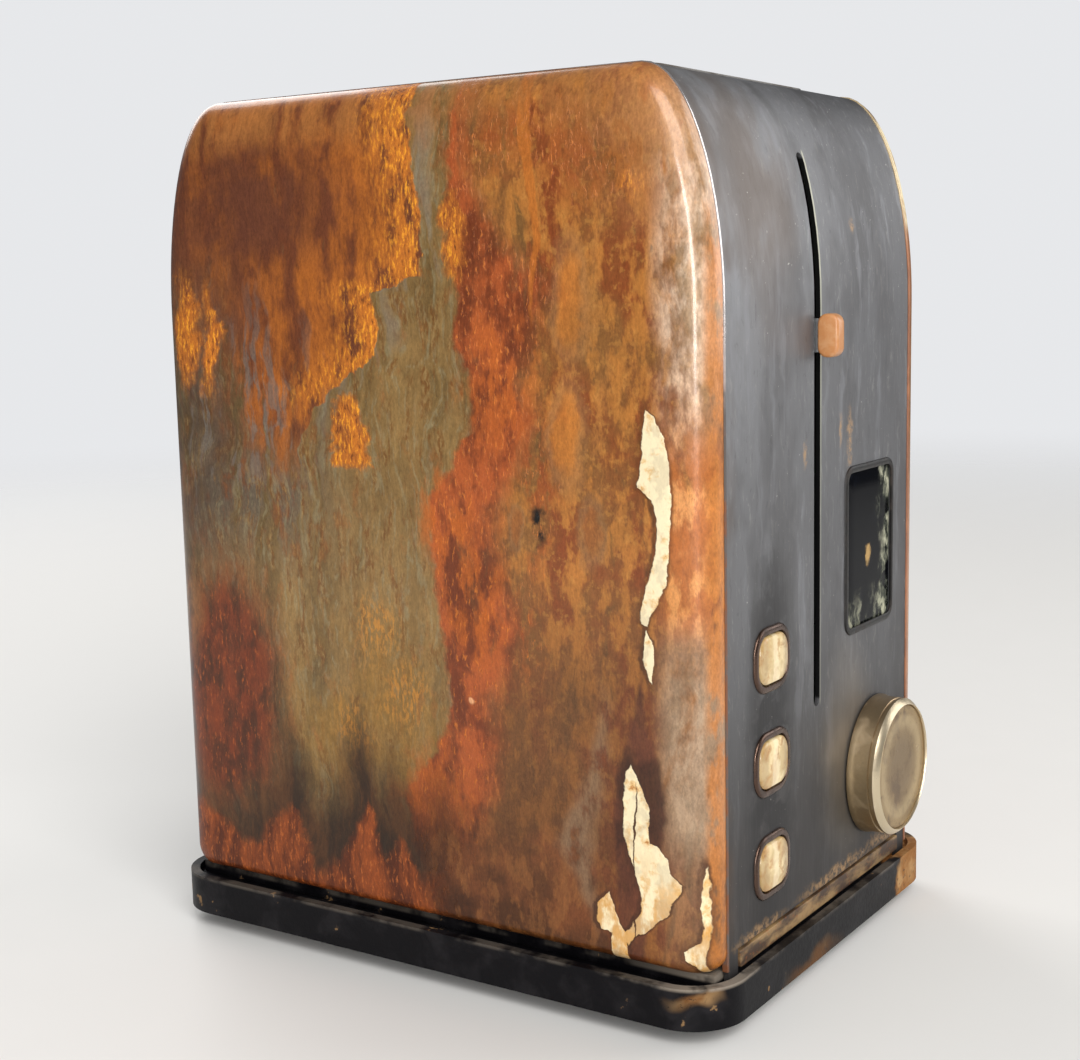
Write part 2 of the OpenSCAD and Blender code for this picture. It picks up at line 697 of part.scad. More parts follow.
pot_half = 8;
pot_d = 5;
module potentiometer() color("#39506b") difference() {
    block(dial_x - pot_half, dial_x + pot_half, board_y - pot_d, board_y, dial_z - pot_half,
        dial_z + pot_half);
    rod_y(dial_x, dial_z, shaft_r + running, board_y - pot_d - cut, board_y - 1);
}

// A rounded outline around a cap, grown by extra past the bezel's inner edge
module bezel_shape(extra) {
    rounded_rect(bezel_in_w + 2 * extra, bezel_in_h + 2 * extra, button_r + bezel_gap + extra);
}
module button(z) color("wheat") {
    y_flange = yi + bezel_tail + slip;
    along_y(yf - button_proud, y_flange + flange_t) translate([button_x, z])
        rounded_rect(button_w, button_h, button_r);
    along_y(y_flange, y_flange + flange_t) translate([button_x, z])
        rounded_rect(button_w + 2 * flange_w, button_h + 2 * flange_w, button_r + flange_w);
    rod_y(button_x, z, button_stem_r, y_flange, board_y - switch_d + stem_entry);
}
module top_button() button(button_rows[2]);
module middle_button() button(button_rows[1]);
module bottom_button() button(button_rows[0]);

bezel_tail = 0.8;
module button_bezels() color("#5a4534") for (z = button_rows) difference() {
    union() {
        along_y(yf - bezel_proud, yf) translate([button_x, z]) bezel_shape(bezel_w);
        along_y(yf - bezel_proud / 2, yi + bezel_tail) translate([button_x, z]) bezel_shape(bezel_wall);
    }
    along_y(yf - bezel_proud - cut, yi + bezel_tail + cut) translate([button_x, z]) bezel_shape(0);
}

module display_window() color("#14161c")
    along_y(yf + window_sink, yf + window_sink + glass_t) translate([window_x, window_z])
        rounded_rect(window_w, window_h, window_r);
module display_bezel() color("#3b3330") difference() {
    along_y(yf - 0.5, yf) translate([window_x, window_z])
        rounded_rect(window_w + 2 * window_rim, window_h + 2 * window_rim, window_r + window_rim);
    along_y(yf - 0.5 - cut, yf + cut) translate([window_x, window_z])
        rounded_rect(window_w - 1, window_h - 1, window_r - 0.5);
}

dial_back = yf - dial_gap;
dial_front = dial_back - dial_t;
dial_rim_t = 1.6;
cap_sink = 0.6;
cap_t = 1.6;
cap_r = dial_r - dial_rim_t;
dial_wall = 2;
// Turned shapes are drawn with radius across and depth up, and stood on the dial's axis
module on_dial_axis() translate([dial_x, 0, dial_z]) rotate([90, 0, 0]) rotate_extrude() children();
module dial() color("tan") difference() {
    on_dial_axis() polygon([[0, -dial_back], [dial_r + 0.4, -dial_back], [dial_r, -dial_back + 2],
        [dial_r, -dial_front - 1], [dial_r - 1, -dial_front], [cap_r, -dial_front],
        [cap_r, -dial_front - cap_sink - cap_t], [0, -dial_front - cap_sink - cap_t]]);
    // hollow behind, around the hub
    difference() {
        rod_y(dial_x, dial_z, dial_r - dial_wall, dial_front + cap_sink + cap_t + dial_wall,
            dial_back + cut);
        rod_y(dial_x, dial_z, bush_r + 1, dial_front, dial_back);
    }
    rod_y(dial_x, dial_z, shaft_r + running, dial_front + cap_sink + cap_t + dial_wall,
        dial_back + cut);
    rod_y(dial_x, dial_z, bush_r + slip, dial_back - 2.5, dial_back + cut);
}
module dial_cap() color("burlywood") {
    rod_y(dial_x, dial_z, cap_r - running, dial_front + cap_sink, dial_front + cap_sink + cap_t);
}
module dial_shaft() color("silver")
    rod_y(dial_x, dial_z, shaft_r, dial_front + cap_sink + cap_t + dial_wall, board_y - 1.5);
module dial_bush() color("silver") difference() {
    union() {
        rod_y(dial_x, dial_z, bush_r, dial_back - 1.8, board_y - pot_d);
        rod_y(dial_x, dial_z, bush_r + 2.4, yi, yi + 1.4);
    }
    rod_y(dial_x, dial_z, shaft_r + running, dial_back - 1.8 - cut, board_y - pot_d + cut);
}

cover();
left_side_panel();
right_side_panel();
left_seam_bead();
right_seam_bead();
slot_surround();
base();
bottom_plate();
feet();
base_screws();
rear_screws();
cord_bush();
terminal_block();
crumb_tray();
tray_lip();
front_bulkhead();
rear_bulkhead();
left_heat_shield();
right_heat_shield();
left_element_card();
centre_element_card();
right_element_card();
element_ribbons();
left_slot_outer_guard();
left_slot_inner_guard();
right_slot_inner_guard();
right_slot_outer_guard();
carriage_plate();
carriage_bush();
left_rack();
right_rack();
lever_arm();
lever_tab();
armature();
guide_rail();
rail_brackets();
lift_spring();
solenoid_yoke();
solenoid_coil();
mains_switch();
button_board();
display_board();
tact_switches();
board_standoffs();
display_module();
potentiometer();
top_button();
middle_button();
bottom_button();
button_bezels();
display_window();
display_bezel();
dial();
dial_cap();
dial_shaft();
dial_bush();
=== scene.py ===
"""Looks for a rusted pop-up toaster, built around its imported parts."""
import functools
import math

import bmesh
import bpy
from bpy.props import FloatProperty, FloatVectorProperty, IntProperty, PointerProperty
from mathutils import Matrix, Vector


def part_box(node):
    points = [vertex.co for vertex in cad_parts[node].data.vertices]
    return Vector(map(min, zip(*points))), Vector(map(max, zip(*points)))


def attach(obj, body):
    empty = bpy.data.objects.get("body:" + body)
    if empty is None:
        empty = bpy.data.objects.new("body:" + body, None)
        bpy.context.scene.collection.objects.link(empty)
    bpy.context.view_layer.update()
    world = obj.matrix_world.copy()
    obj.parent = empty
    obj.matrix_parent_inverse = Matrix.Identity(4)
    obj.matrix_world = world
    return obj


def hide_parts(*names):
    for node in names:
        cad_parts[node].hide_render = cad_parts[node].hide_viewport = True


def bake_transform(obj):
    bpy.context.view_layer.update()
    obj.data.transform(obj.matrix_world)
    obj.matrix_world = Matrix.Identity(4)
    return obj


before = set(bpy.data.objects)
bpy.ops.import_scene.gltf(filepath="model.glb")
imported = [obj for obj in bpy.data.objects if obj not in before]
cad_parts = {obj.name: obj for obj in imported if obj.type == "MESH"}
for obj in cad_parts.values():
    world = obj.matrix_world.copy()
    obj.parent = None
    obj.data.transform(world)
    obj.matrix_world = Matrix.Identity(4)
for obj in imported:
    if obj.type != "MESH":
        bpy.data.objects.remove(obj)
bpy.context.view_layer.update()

bl_info = {
    "name": "Rusted pop-up toaster",
    "version": (1, 0, 0),
    "blender": (4, 5, 0),
    "location": "3D View > Sidebar > Toaster",
    "description": "Builds the visible pieces and finishes of a rusted pop-up toaster",
    "category": "Object",
}

MM = 0.001
TURN = 2 * math.pi


# Places that come from the frame

def low(node):
    return Vector(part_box(node)[0])


def high(node):
    return Vector(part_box(node)[1])


def middle(node):
    return (low(node) + high(node)) / 2


def size(node):
    return high(node) - low(node)


FRONT = low("cover").y
REAR = high("cover").y
TOP = high("cover").z
COVER_EDGE = high("right_seam_bead").x
PANEL_FACE = high("right_side_panel").x
PANEL_FOOT = low("right_side_panel").z
LEVER_X = middle("lever_tab").x
SLOT_HALF, SLOT_FOOT, SLOT_HEAD = 1.7, 67, 201.5  # mm, the lever's slot: half its width and its ends


# Sizes and colours that a user would change

def length(name, about, millimetres):
    return FloatProperty(name=name, description=about, default=millimetres * MM,
                         unit="LENGTH", precision=4)


def tint(name, about, code):
    return FloatVectorProperty(name=name, description=about, default=colour(code),
                               subtype="COLOR", size=3, min=0, max=1)


def colour(code):
    """A linear colour from the hexadecimal code of its display colour."""
    def linear(c):
        return c / 12.92 if c <= 0.04045 else ((c + 0.055) / 1.055) ** 2.4
    return tuple(linear(int(code[k:k + 2], 16) / 255) for k in (0, 2, 4))


def shade(given):
    """A colour that is given as a hexadecimal code or as its numbers."""
    return colour(given) if isinstance(given, str) else tuple(given)[:3]


class ToasterShape(bpy.types.PropertyGroup):
    corner_length: length("Corner length", "Length of the casing's rounded top corner", 19.5)
    corner_height: length("Corner height", "Height of the casing's rounded top corner", 54)
    roll_width: length("Roll width", "Width of a side panel's rolled edge", 13)
    roll_low: length("Low roll", "Height of the roll along a side panel's bottom", 4)
    roll_square: FloatProperty(name="Roll squareness", description="2 is a quarter of an ellipse",
                               default=2.5, min=2, max=5)
    button_corner: length("Button corner", "Corner radius of a button's cap", 4)
    panel_corner: length("Panel corner", "Radius of a side panel's bottom corners", 5)
    panel_sheet: length("Panel sheet", "Thickness of a side panel", 1)
    cap_crown: length("Cap crown", "How much a button's cap bulges", 0.45)
    dial_groove: length("Dial groove", "Depth of the groove behind the dial's rim", 0.35)
    spring_wire: length("Spring wire", "Thickness of the lift spring's wire", 1)
    spring_turns: IntProperty(name="Spring turns", description="Turns of the lift spring",
                              default=15, min=4, max=40)
    steps: IntProperty(name="Corner steps", description="Rings around a rounded corner",
                       default=22, min=6, max=48)


class ToasterColours(bpy.types.PropertyGroup):
    rust: tint("Rust", "Orange-brown rust", "96501f")
    purple: tint("Purple rust", "Purple-brown rust at the upper rear", "5c3424")
    olive: tint("Olive", "Bare olive steel", "896a3e")
    slate: tint("Slate", "Blue-grey bare steel", "5d5245")
    cream: tint("Cream", "Old cream paint", "efdfb8")
    band: tint("Cover", "Grey of the cover", "656567")
    lever: tint("Lever", "Copper-tan lever", "b87c4a")
    cap: tint("Cap", "Ivory button cap", "dcc592")
    bezel: tint("Bezel", "Bronze bezel", "57443a")
    dial: tint("Dial", "Champagne dial", "a0865c")
    base: tint("Base", "Black base", "0c0b0e")
    floor: tint("Floor", "Pale floor", "e6e4e0")


class ToasterView(bpy.types.PropertyGroup):
    azimuth: FloatProperty(name="Azimuth", description="Direction of the view",
                           default=math.radians(-56.46), subtype="ANGLE")
    elevation: FloatProperty(name="Elevation", description="Height of the view",
                             default=math.radians(8.43), subtype="ANGLE")
    roll: FloatProperty(name="Roll", description="Tilt of the picture",
                        default=math.radians(-1.26), subtype="ANGLE")
    distance: length("Distance", "Distance from the middle of the casing", 465.6)
    aside: FloatProperty(name="Aside", description="Sideways step, as a share of the distance",
                         default=0.0055)
    above: FloatProperty(name="Above", description="Upward step, as a share of the distance",
                         default=0.0138)
    lens: FloatProperty(name="Lens", description="Focal length on a 36 mm sensor, in mm",
                        default=57.1)


def shape():
    return bpy.context.scene.toaster_shape


def colours():
    return bpy.context.scene.toaster_colours


# Modelling

def deselect():
    if bpy.context.object and bpy.context.object.mode != "OBJECT":
        bpy.ops.object.mode_set(mode="OBJECT")
    bpy.ops.object.select_all(action="DESELECT")


def only(piece):
    deselect()
    piece.select_set(True)
    bpy.context.view_layer.objects.active = piece


def smooth(piece, angle=32):
    only(piece)
    bpy.ops.object.shade_smooth_by_angle(angle=math.radians(angle))


def loft(name, rings, angle=32):
    """A closed surface through rings with the same number of points; a ring of one point is a pole.

    A circle is extruded ring by ring in edit mode, and each new ring is moved to its own points.
    """
    count = max(len(ring) for ring in rings)
    rings = [list(ring) * count if len(ring) == 1 else ring for ring in rings]
    deselect()
    bpy.ops.mesh.primitive_circle_add(vertices=count, radius=1)
    piece = bpy.context.object
    piece.name = name
    bpy.ops.object.mode_set(mode="EDIT")
    bpy.ops.mesh.select_mode(type="VERT")
    bpy.ops.mesh.select_all(action="SELECT")
    mesh = bmesh.from_edit_mesh(piece.data)
    order = mesh.verts.layers.int.new("order")
    for k, corner in enumerate(mesh.verts):
        corner[order] = k
    for k, ring in enumerate(rings):
        if k:
            bpy.ops.mesh.extrude_region_move()
            mesh = bmesh.from_edit_mesh(piece.data)
            order = mesh.verts.layers.int["order"]
        for corner in mesh.verts:
            if corner.select:
                corner.co = ring[corner[order]]
    bmesh.update_edit_mesh(piece.data)
    bpy.ops.mesh.select_all(action="SELECT")
    bpy.ops.mesh.remove_doubles(threshold=1e-6)
    bpy.ops.mesh.normals_make_consistent(inside=False)
    bpy.ops.object.mode_set(mode="OBJECT")
    smooth(piece, angle)
    return piece


def join(name, pieces):
    only(pieces[0])
    for other in pieces[1:]:
        other.select_set(True)
    bpy.ops.object.join()
    pieces[0].name = name
    return pieces[0]


def modify(piece, kind, **settings):
    """Applies a modifier to a piece."""
    only(piece)
    tool = piece.modifiers.new(kind, kind)
    for key, setting in settings.items():
        setattr(tool, key, setting)
    bpy.ops.object.modifier_apply(modifier=tool.name)


def softened(node, name, millimetres):
    """A merged copy of a node's mesh with its sharp edges eased by some millimetres."""
    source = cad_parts[node]
    piece = source.copy()
    piece.data = source.data.copy()
    piece.name = name
    piece.parent = None
    piece.matrix_world = Matrix.Identity(4)
    bpy.context.collection.objects.link(piece)
    only(piece)
    bpy.ops.object.mode_set(mode="EDIT")
    bpy.ops.mesh.select_all(action="SELECT")
    bpy.ops.mesh.remove_doubles(threshold=1e-6)
    bpy.ops.mesh.dissolve_limited(angle_limit=math.radians(0.5))
    bpy.ops.object.mode_set(mode="OBJECT")
    modify(piece, "BEVEL", width=millimetres * MM, segments=2, limit_method="ANGLE",
           angle_limit=math.radians(50), harden_normals=False)
    smooth(piece)
    modify(piece, "WEIGHTED_NORMAL", keep_sharp=True, weight=90)
    return piece


def arc(cy, cz, ry, rz, start, end, steps):
    """Points along a quarter of an ellipse, in degrees from +Y towards +Z."""
    return [(cy + ry * math.cos(math.radians(start + (end - start) * k / steps)),
             cz + rz * math.sin(math.radians(start + (end - start) * k / steps)))
            for k in range(steps + 1)]


def casing_outline(inset, rise=0.0):
    """The side view of the casing, moved in by inset and up from its foot by rise, as Y and Z."""
    s = shape()
    n = s.steps
    cy, cz = s.corner_length, s.corner_height
    r = s.panel_corner
    foot = PANEL_FOOT + rise
    return (arc(FRONT + cy, TOP - cz, cy - inset, cz - inset, 180, 90, n)
            + arc(REAR - cy, TOP - cz, cy - inset, cz - inset, 90, 0, n)
            + arc(REAR - inset - r, foot + r, r, r, 0, -90, n // 3)
            + arc(FRONT + inset + r, foot + r, r, r, 270, 180, n // 3))


def rounded_rectangle(w, h, r, steps=8):
    """Corner arcs of a rectangle about the origin, as pairs."""
    r = min(r, w / 2, h / 2)
    x, z = w / 2 - r, h / 2 - r
    return (arc(x, z, r, r, 0, 90, steps) + arc(-x, z, r, r, 90, 180, steps)
            + arc(-x, -z, r, r, 180, 270, steps) + arc(x, -z, r, r, 270, 360, steps))


def facing_front(centre, flat, y):
    """Points of a flat shape in X and Z, set at a depth along Y."""
    return [Vector((centre.x + a, y, centre.z + b)) for a, b in flat]


def stacked(name, centre, rows, angle=40):
    """A loft along Y through rounded rectangles, from rows of width, height, corner and Y."""
    return loft(name, [facing_front(centre, rounded_rectangle(w, h, r), y) if w else
                       [Vector((centre.x, y, centre.z))] for w, h, r, y in rows], angle)


def disc_rings(centre, profile, steps=64, upright=False):
    """Rings about an axis along Y, or Z when upright, from pairs of radius and place along it."""
    circle = [(math.cos(TURN * k / steps), math.sin(TURN * k / steps)) for k in range(steps)]

    def ring(r, along):
        flat = [(r * a, r * b) for a, b in circle] if r else [(0, 0)]
        if upright:
            return [Vector((centre.x + a, centre.y + b, along)) for a, b in flat]
        return facing_front(centre, flat, along)
    return [ring(r, along) for r, along in profile]


# Shader maths

class Value:
    """A socket that adds a Math node for each operator used on it."""

    def __init__(self, finish, socket):
        self.finish = finish
        self.socket = socket

    def maths(self, operation, *others):
        return self.finish.node("ShaderNodeMath", {"operation": operation},
                                dict(enumerate((self, *others))))

    def __add__(self, other): return self.maths("ADD", other)
    def __sub__(self, other): return self.maths("SUBTRACT", other)
    def __mul__(self, other): return self.maths("MULTIPLY", other)
    def __truediv__(self, other): return self.maths("DIVIDE", other)
    def __rsub__(self, other): return self.finish.number(other).maths("SUBTRACT", self)
    __radd__ = __add__
    __rmul__ = __mul__

    def most(self, other): return self.maths("MAXIMUM", other)
    def least(self, other): return self.maths("MINIMUM", other)
    def size(self): return self.maths("ABSOLUTE")

    def step(self, start, end):
        """0 below start, 1 above end and smooth between them."""
        return self.finish.node("ShaderNodeMapRange", {"interpolation_type": "SMOOTHSTEP"},
                                {"Value": self, "From Min": start, "From Max": end})


class Finish:
    """A procedural material; coordinates are the object's own, in millimetres."""

    def __init__(self, name, base, rough=0.5, metal=0.0, coat=0.0, coat_rough=0.1):
        self.material = bpy.data.materials.new(name)
        self.material.use_nodes = True
        self.tree = self.material.node_tree
        self.shader = self.tree.nodes["Principled BSDF"]
        self.look = shade(base)
        self.material.diffuse_color = (*self.look, 1)
        for name, given in (("Base Color", base), ("Roughness", rough), ("Metallic", metal),
                            ("Coat Weight", coat), ("Coat Roughness", coat_rough)):
            self.set(name, given)
        self.mm = self.vector("SCALE", self.node("ShaderNodeTexCoord", {}, {}, "Object"), 1 / MM)
        self.known = {}

    def node(self, kind, settings, inputs, output=0):
        made = self.tree.nodes.new(kind)
        for key, setting in settings.items():
            setattr(made, key, setting)
        for key, given in inputs.items():
            self.feed(made.inputs[key], given)
        return Value(self, made.outputs[output])

    def feed(self, socket, given):
        if isinstance(given, Value):
            self.tree.links.new(given.socket, socket)
        elif socket.type == "RGBA":
            socket.default_value = (*shade(given), 1)
        else:
            socket.default_value = given

    def set(self, name, given):
        self.feed(self.shader.inputs[name], given)

    def vector(self, operation, first, second=None, output=0):
        inputs = {0: first}
        if second is not None:
            inputs["Scale" if operation == "SCALE" else 1] = second
        return self.node("ShaderNodeVectorMath", {"operation": operation}, inputs, output)

    def number(self, given):
        return self.node("ShaderNodeMath", {"operation": "ADD"}, {0: given, 1: 0.0})

    def parts(self, where):
        """The X, Y and Z of some coordinates."""
        if where not in self.known:
            split = self.tree.nodes.new("ShaderNodeSeparateXYZ")
            self.tree.links.new(where.socket, split.inputs[0])
            self.known[where] = [Value(self, out) for out in split.outputs]
        return self.known[where]

    def axis(self, letter):
        return self.parts(self.mm)["XYZ".index(letter)]

    def curve(self, along, points):
        """A value that follows points of place and value in straight lines."""
        start, end = points[0][0], points[-1][0]
        least = min(value for _, value in points)
        span = max(value for _, value in points) - least
        ramp = self.node("ShaderNodeValToRGB", {}, {"Fac": (along - start) / (end - start)})
        marks = ramp.socket.node.color_ramp.elements
        for place, _ in points[1:-1]:
            marks.new((place - start) / (end - start))
        for mark, (_, value) in zip(marks, points):
            mark.color = (*((value - least) / span,) * 3, 1)
        return ramp * span + least

    def stretched(self, x, y, z, where=None):
        """Coordinates multiplied along each axis, so that a noise is drawn out along the least."""
        return self.vector("MULTIPLY", where or self.mm, (x, y, z))

    def noise(self, span, detail=3, rough=0.55, where=None, seed=0.0):
        """Noise with features about span millimetres wide."""
        where = where or self.mm
        if seed:
            where = self.vector("ADD", where, (seed, -seed, seed * 0.7))
        return self.node("ShaderNodeTexNoise", {}, {
            "Vector": where, "Scale": 1 / span, "Detail": detail, "Roughness": rough})

    def warped(self, amount, span, detail=2, where=None):
        """Coordinates pushed about by a noise, for ragged edges."""
        where = where or self.mm
        push = self.node("ShaderNodeTexNoise", {}, {
            "Vector": where, "Scale": 1 / span, "Detail": detail}, "Color")
        centred = self.vector("SUBTRACT", push, (0.5, 0.5, 0.5))
        return self.vector("ADD", where, self.vector("SCALE", centred, amount * 2))

    def patch(self, where, centre, radii, soft=0.35):
        """1 inside an oval of the given half widths and 0 outside it."""
        offset = self.vector("SUBTRACT", where, centre)
        away = self.vector("LENGTH", self.stretched(*(1 / r for r in radii), offset), output=1)
        return away.step(1 + soft, 1 - soft)

    def mix(self, share, first, second):
        return self.node("ShaderNodeMix", {"data_type": "RGBA"}, {0: share, 6: first, 7: second}, 2)

    def lay(self, share, over):
        """Lays a colour over what is there."""
        self.look = self.mix(share, self.look, over)

    def wear(self, rough, height, tall, metal=None):
        """Ends a finish: its colour, roughness, a relief that is tall millimetres high, and metal."""
        self.set("Base Color", self.look)
        self.set("Roughness", rough)
        self.set("Normal", self.node("ShaderNodeBump", {}, {"Height": height, "Distance": tall * MM}))
        if metal is not None:
            self.set("Metallic", metal)
        return self


def use(finish, *pieces):
    """Puts a finish on pieces, and on nodes that are given by name."""
    for piece in pieces:
        if isinstance(piece, str):
            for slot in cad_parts[piece].material_slots:
                slot.material = finish.material
        else:
            piece.data.materials.clear()
            piece.data.materials.append(finish.material)


def most(values):
    """The greatest of some values."""
    return functools.reduce(Value.most, values)


def stand_in(piece, finish, body, node):
    """Gives a piece its finish, and its place in the part instead of a node."""
    use(finish, piece)
    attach(piece, body)
    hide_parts(node)


# Finishes

ACROSS = 400  # mm, the half width of a patch that reaches through the whole toaster

# Stains on the cover: X, Z and the half widths
COVER_SPOTS = ((-12, 130, 1.2, 2.8), (14.7, 131, 1.6, 7), (18.5, 184, 1.6, 1.8), (9, 134, 1.0, 3),
               (-37, 19.5, 12, 1.6), (8, 20, 20, 1.8), (40, 21, 12, 2))

# Marks on a side panel: Y, Z, the half widths and the softness of the edge
FRESH_SPOTS = ((20, 136, 5.5, 10.5, 0.2), (76, 162, 3.8, 13, 0.6), (67, 158, 2.6, 11, 0.7),
               (-12.5, 184, 3.4, 8, 0.5), (-60, 194, 2.6, 3, 0.9))
SPARKS = ((5, 71, 5, 6, 0.8), (13, 87, 5, 8, 0.9), (21, 62, 5, 8, 0.9))
HOT_PLACES = ((-9, 115, 9, 12, 0.6), (-14, 98, 7, 12, 0.6), (-4, 46, 9, 13, 0.6),
              (-24, 150, 9, 14, 0.8))
RED_PLACES = ((-30, 92, 5, 10, 0.7), (-36, 124, 4, 22, 0.6), (-24, 205, 14, 7, 0.8),
              (-47, 200, 9, 9, 0.8))
FAR_SPOTS = ((-48, 138, 13, 54, 0.3), (40, 196, 36, 20, 0.3), (70, 84, 12, 46, 0.3),
             (4, 40, 26, 16, 0.4))
# Ovals in front of the red column, without the softness
OVALS = ((-44.5, 168, 4.6, 11), (-44, 138, 4, 11), (-28.5, 115, 2.0, 4), (-50, 116, 3, 7))

# Outlines of marks on the near panel, as pairs of Z and Y in mm. A mark lies between two of them.
PAINT_CHIPS = (
    (((95.6, -63.1), (96.5, -61.5), (99.3, -61.3), (103.5, -62.7), (109.2, -64.2),
      (113.3, -65.6), (119.7, -65.7), (124.3, -64.4), (126.7, -60.8), (134.6, -62.1),
      (139.3, -62.3), (144.1, -63.3)),
     ((95.6, -63.2), (97.9, -64), (100.5, -65.6), (103, -66.8), (106.3, -68.5), (115.1, -69),
      (119.8, -69.4), (127.1, -69.5), (132.5, -69.2), (137.9, -68), (142.6, -65.5),
      (144.1, -63.4))),
    (((82.6, -64.2), (84.9, -62.9), (88, -61.8), (92.1, -62.1), (95.2, -62.6)),
     ((82.6, -64.3), (85.1, -64.7), (89.1, -65), (92.7, -64.4), (95.2, -62.7))),
    (((20.1, -57.2), (22.7, -55.1), (25, -57.8), (28.5, -60.2), (32, -60.7), (36.8, -59.4),
      (40.9, -58), (44.9, -56.7), (47.3, -56.1), (54.1, -56.2), (61.7, -56.8), (63.5, -58.4)),
     ((20.1, -57.3), (22.6, -58.7), (24, -61.5), (26.7, -64.4), (29.9, -68), (32.5, -68.5),
      (34.9, -71), (37, -71.4), (39.3, -68.6), (42.5, -67.8), (45.1, -65.6), (45.5, -63.2),
      (49.3, -62.8), (53.5, -63.4), (56.7, -62), (61.3, -59.8), (63.5, -58.5))),
    (((22.7, -52.5), (22.9, -49.6), (24.5, -48.6), (29.3, -48.7), (32.5, -52.2)),
     ((22.7, -57), (24.9, -55.3), (27.3, -54), (29.7, -53.1), (32.5, -52.3))),
    (((15.6, -74.9), (17.8, -73.5), (19.3, -71.2), (21.4, -71.2), (23.7, -74.6), (27, -75.6),
      (32.1, -75), (38.8, -75.3), (42.1, -76.2)),
     ((15.6, -76), (20.2, -76.2), (25.1, -77.1), (31, -77.2), (38.6, -76.8), (42.1, -76.3))),
)
FRESH_RUST_EDGE = (
    (134.5, 34.5), (141.8, 28.3), (149, 23.3), (153.4, 17.5), (158.6, 11.1), (162.8, 9.3),
    (171.3, 10.6), (172.9, 3.5), (175.3, -1.4), (181.1, -2.2), (188.5, -3), (195.8, -2.8),
    (200.8, -0.9), (206.6, -0.1), (211.5, 0.8))
RED_COLUMN_REAR = (
    (22.2, 0.9), (32.6, 5), (44.3, 6.7), (53.1, 3), (64.2, -5.1), (72.4, -6.5), (84.5, -4.2),
    (94.8, -1.4), (108, -2.5), (121.1, -4.6), (124, -6.3), (132.7, -10.8), (141.2, -14.2),
    (149.5, -13.5), (161.1, -10.8), (170.2, -12.2), (179.2, -9.9), (189, -9.8), (197, -11))
RED_COLUMN_FRONT = (
    (22.2, -2), (32.7, -6.1), (42.7, -11.8), (53.7, -13.3), (65.4, -14.7), (77, -16.2),
    (86, -18.6), (94, -20.9), (104.9, -18.1), (117.6, -18.6), (124.7, -21.8), (133.3, -28.1),
    (141.6, -28.4), (149.7, -25.6), (157.9, -26.9), (165.9, -32), (172.3, -33.2),
    (182.2, -21.7), (192, -17), (197, -12))
DARK_BY_CHIPS = (
    ((20, -54.5), (36.8, -53.5), (50, -53), (59.6, -53.6), (75.3, -58.6), (85.5, -61), (96, -62)),
    ((20, -62), (36.8, -65), (51.8, -68.3), (64.8, -66.7), (72.6, -63.2), (85.5, -62.5),
     (96, -62.2)))
FLAMES = ((-12, 18), (-6, 31), (2.9, 24), (8.2, 33), (13, 27), (18.2, 42), (24, 33), (30, 24),
          (35.8, 20), (43.5, 38), (52, 33), (58, 26), (63.4, 24), (70, 31), (75.6, 36), (83, 34))
# Share of the rolled edge that is pale, by height: rubbed grey-beige low down, a painted highlight
# higher up
ROLL_RUBBED_AND_HIGHLIT = ((15, 0.1), (40, 0.25), (50, 0.8), (80, 0.95), (92, 0.5), (100, 0.12), (130, 0.1),
             (146, 0.6), (165, 0.95), (200, 0.9), (212, 0.5), (219, 0.3))


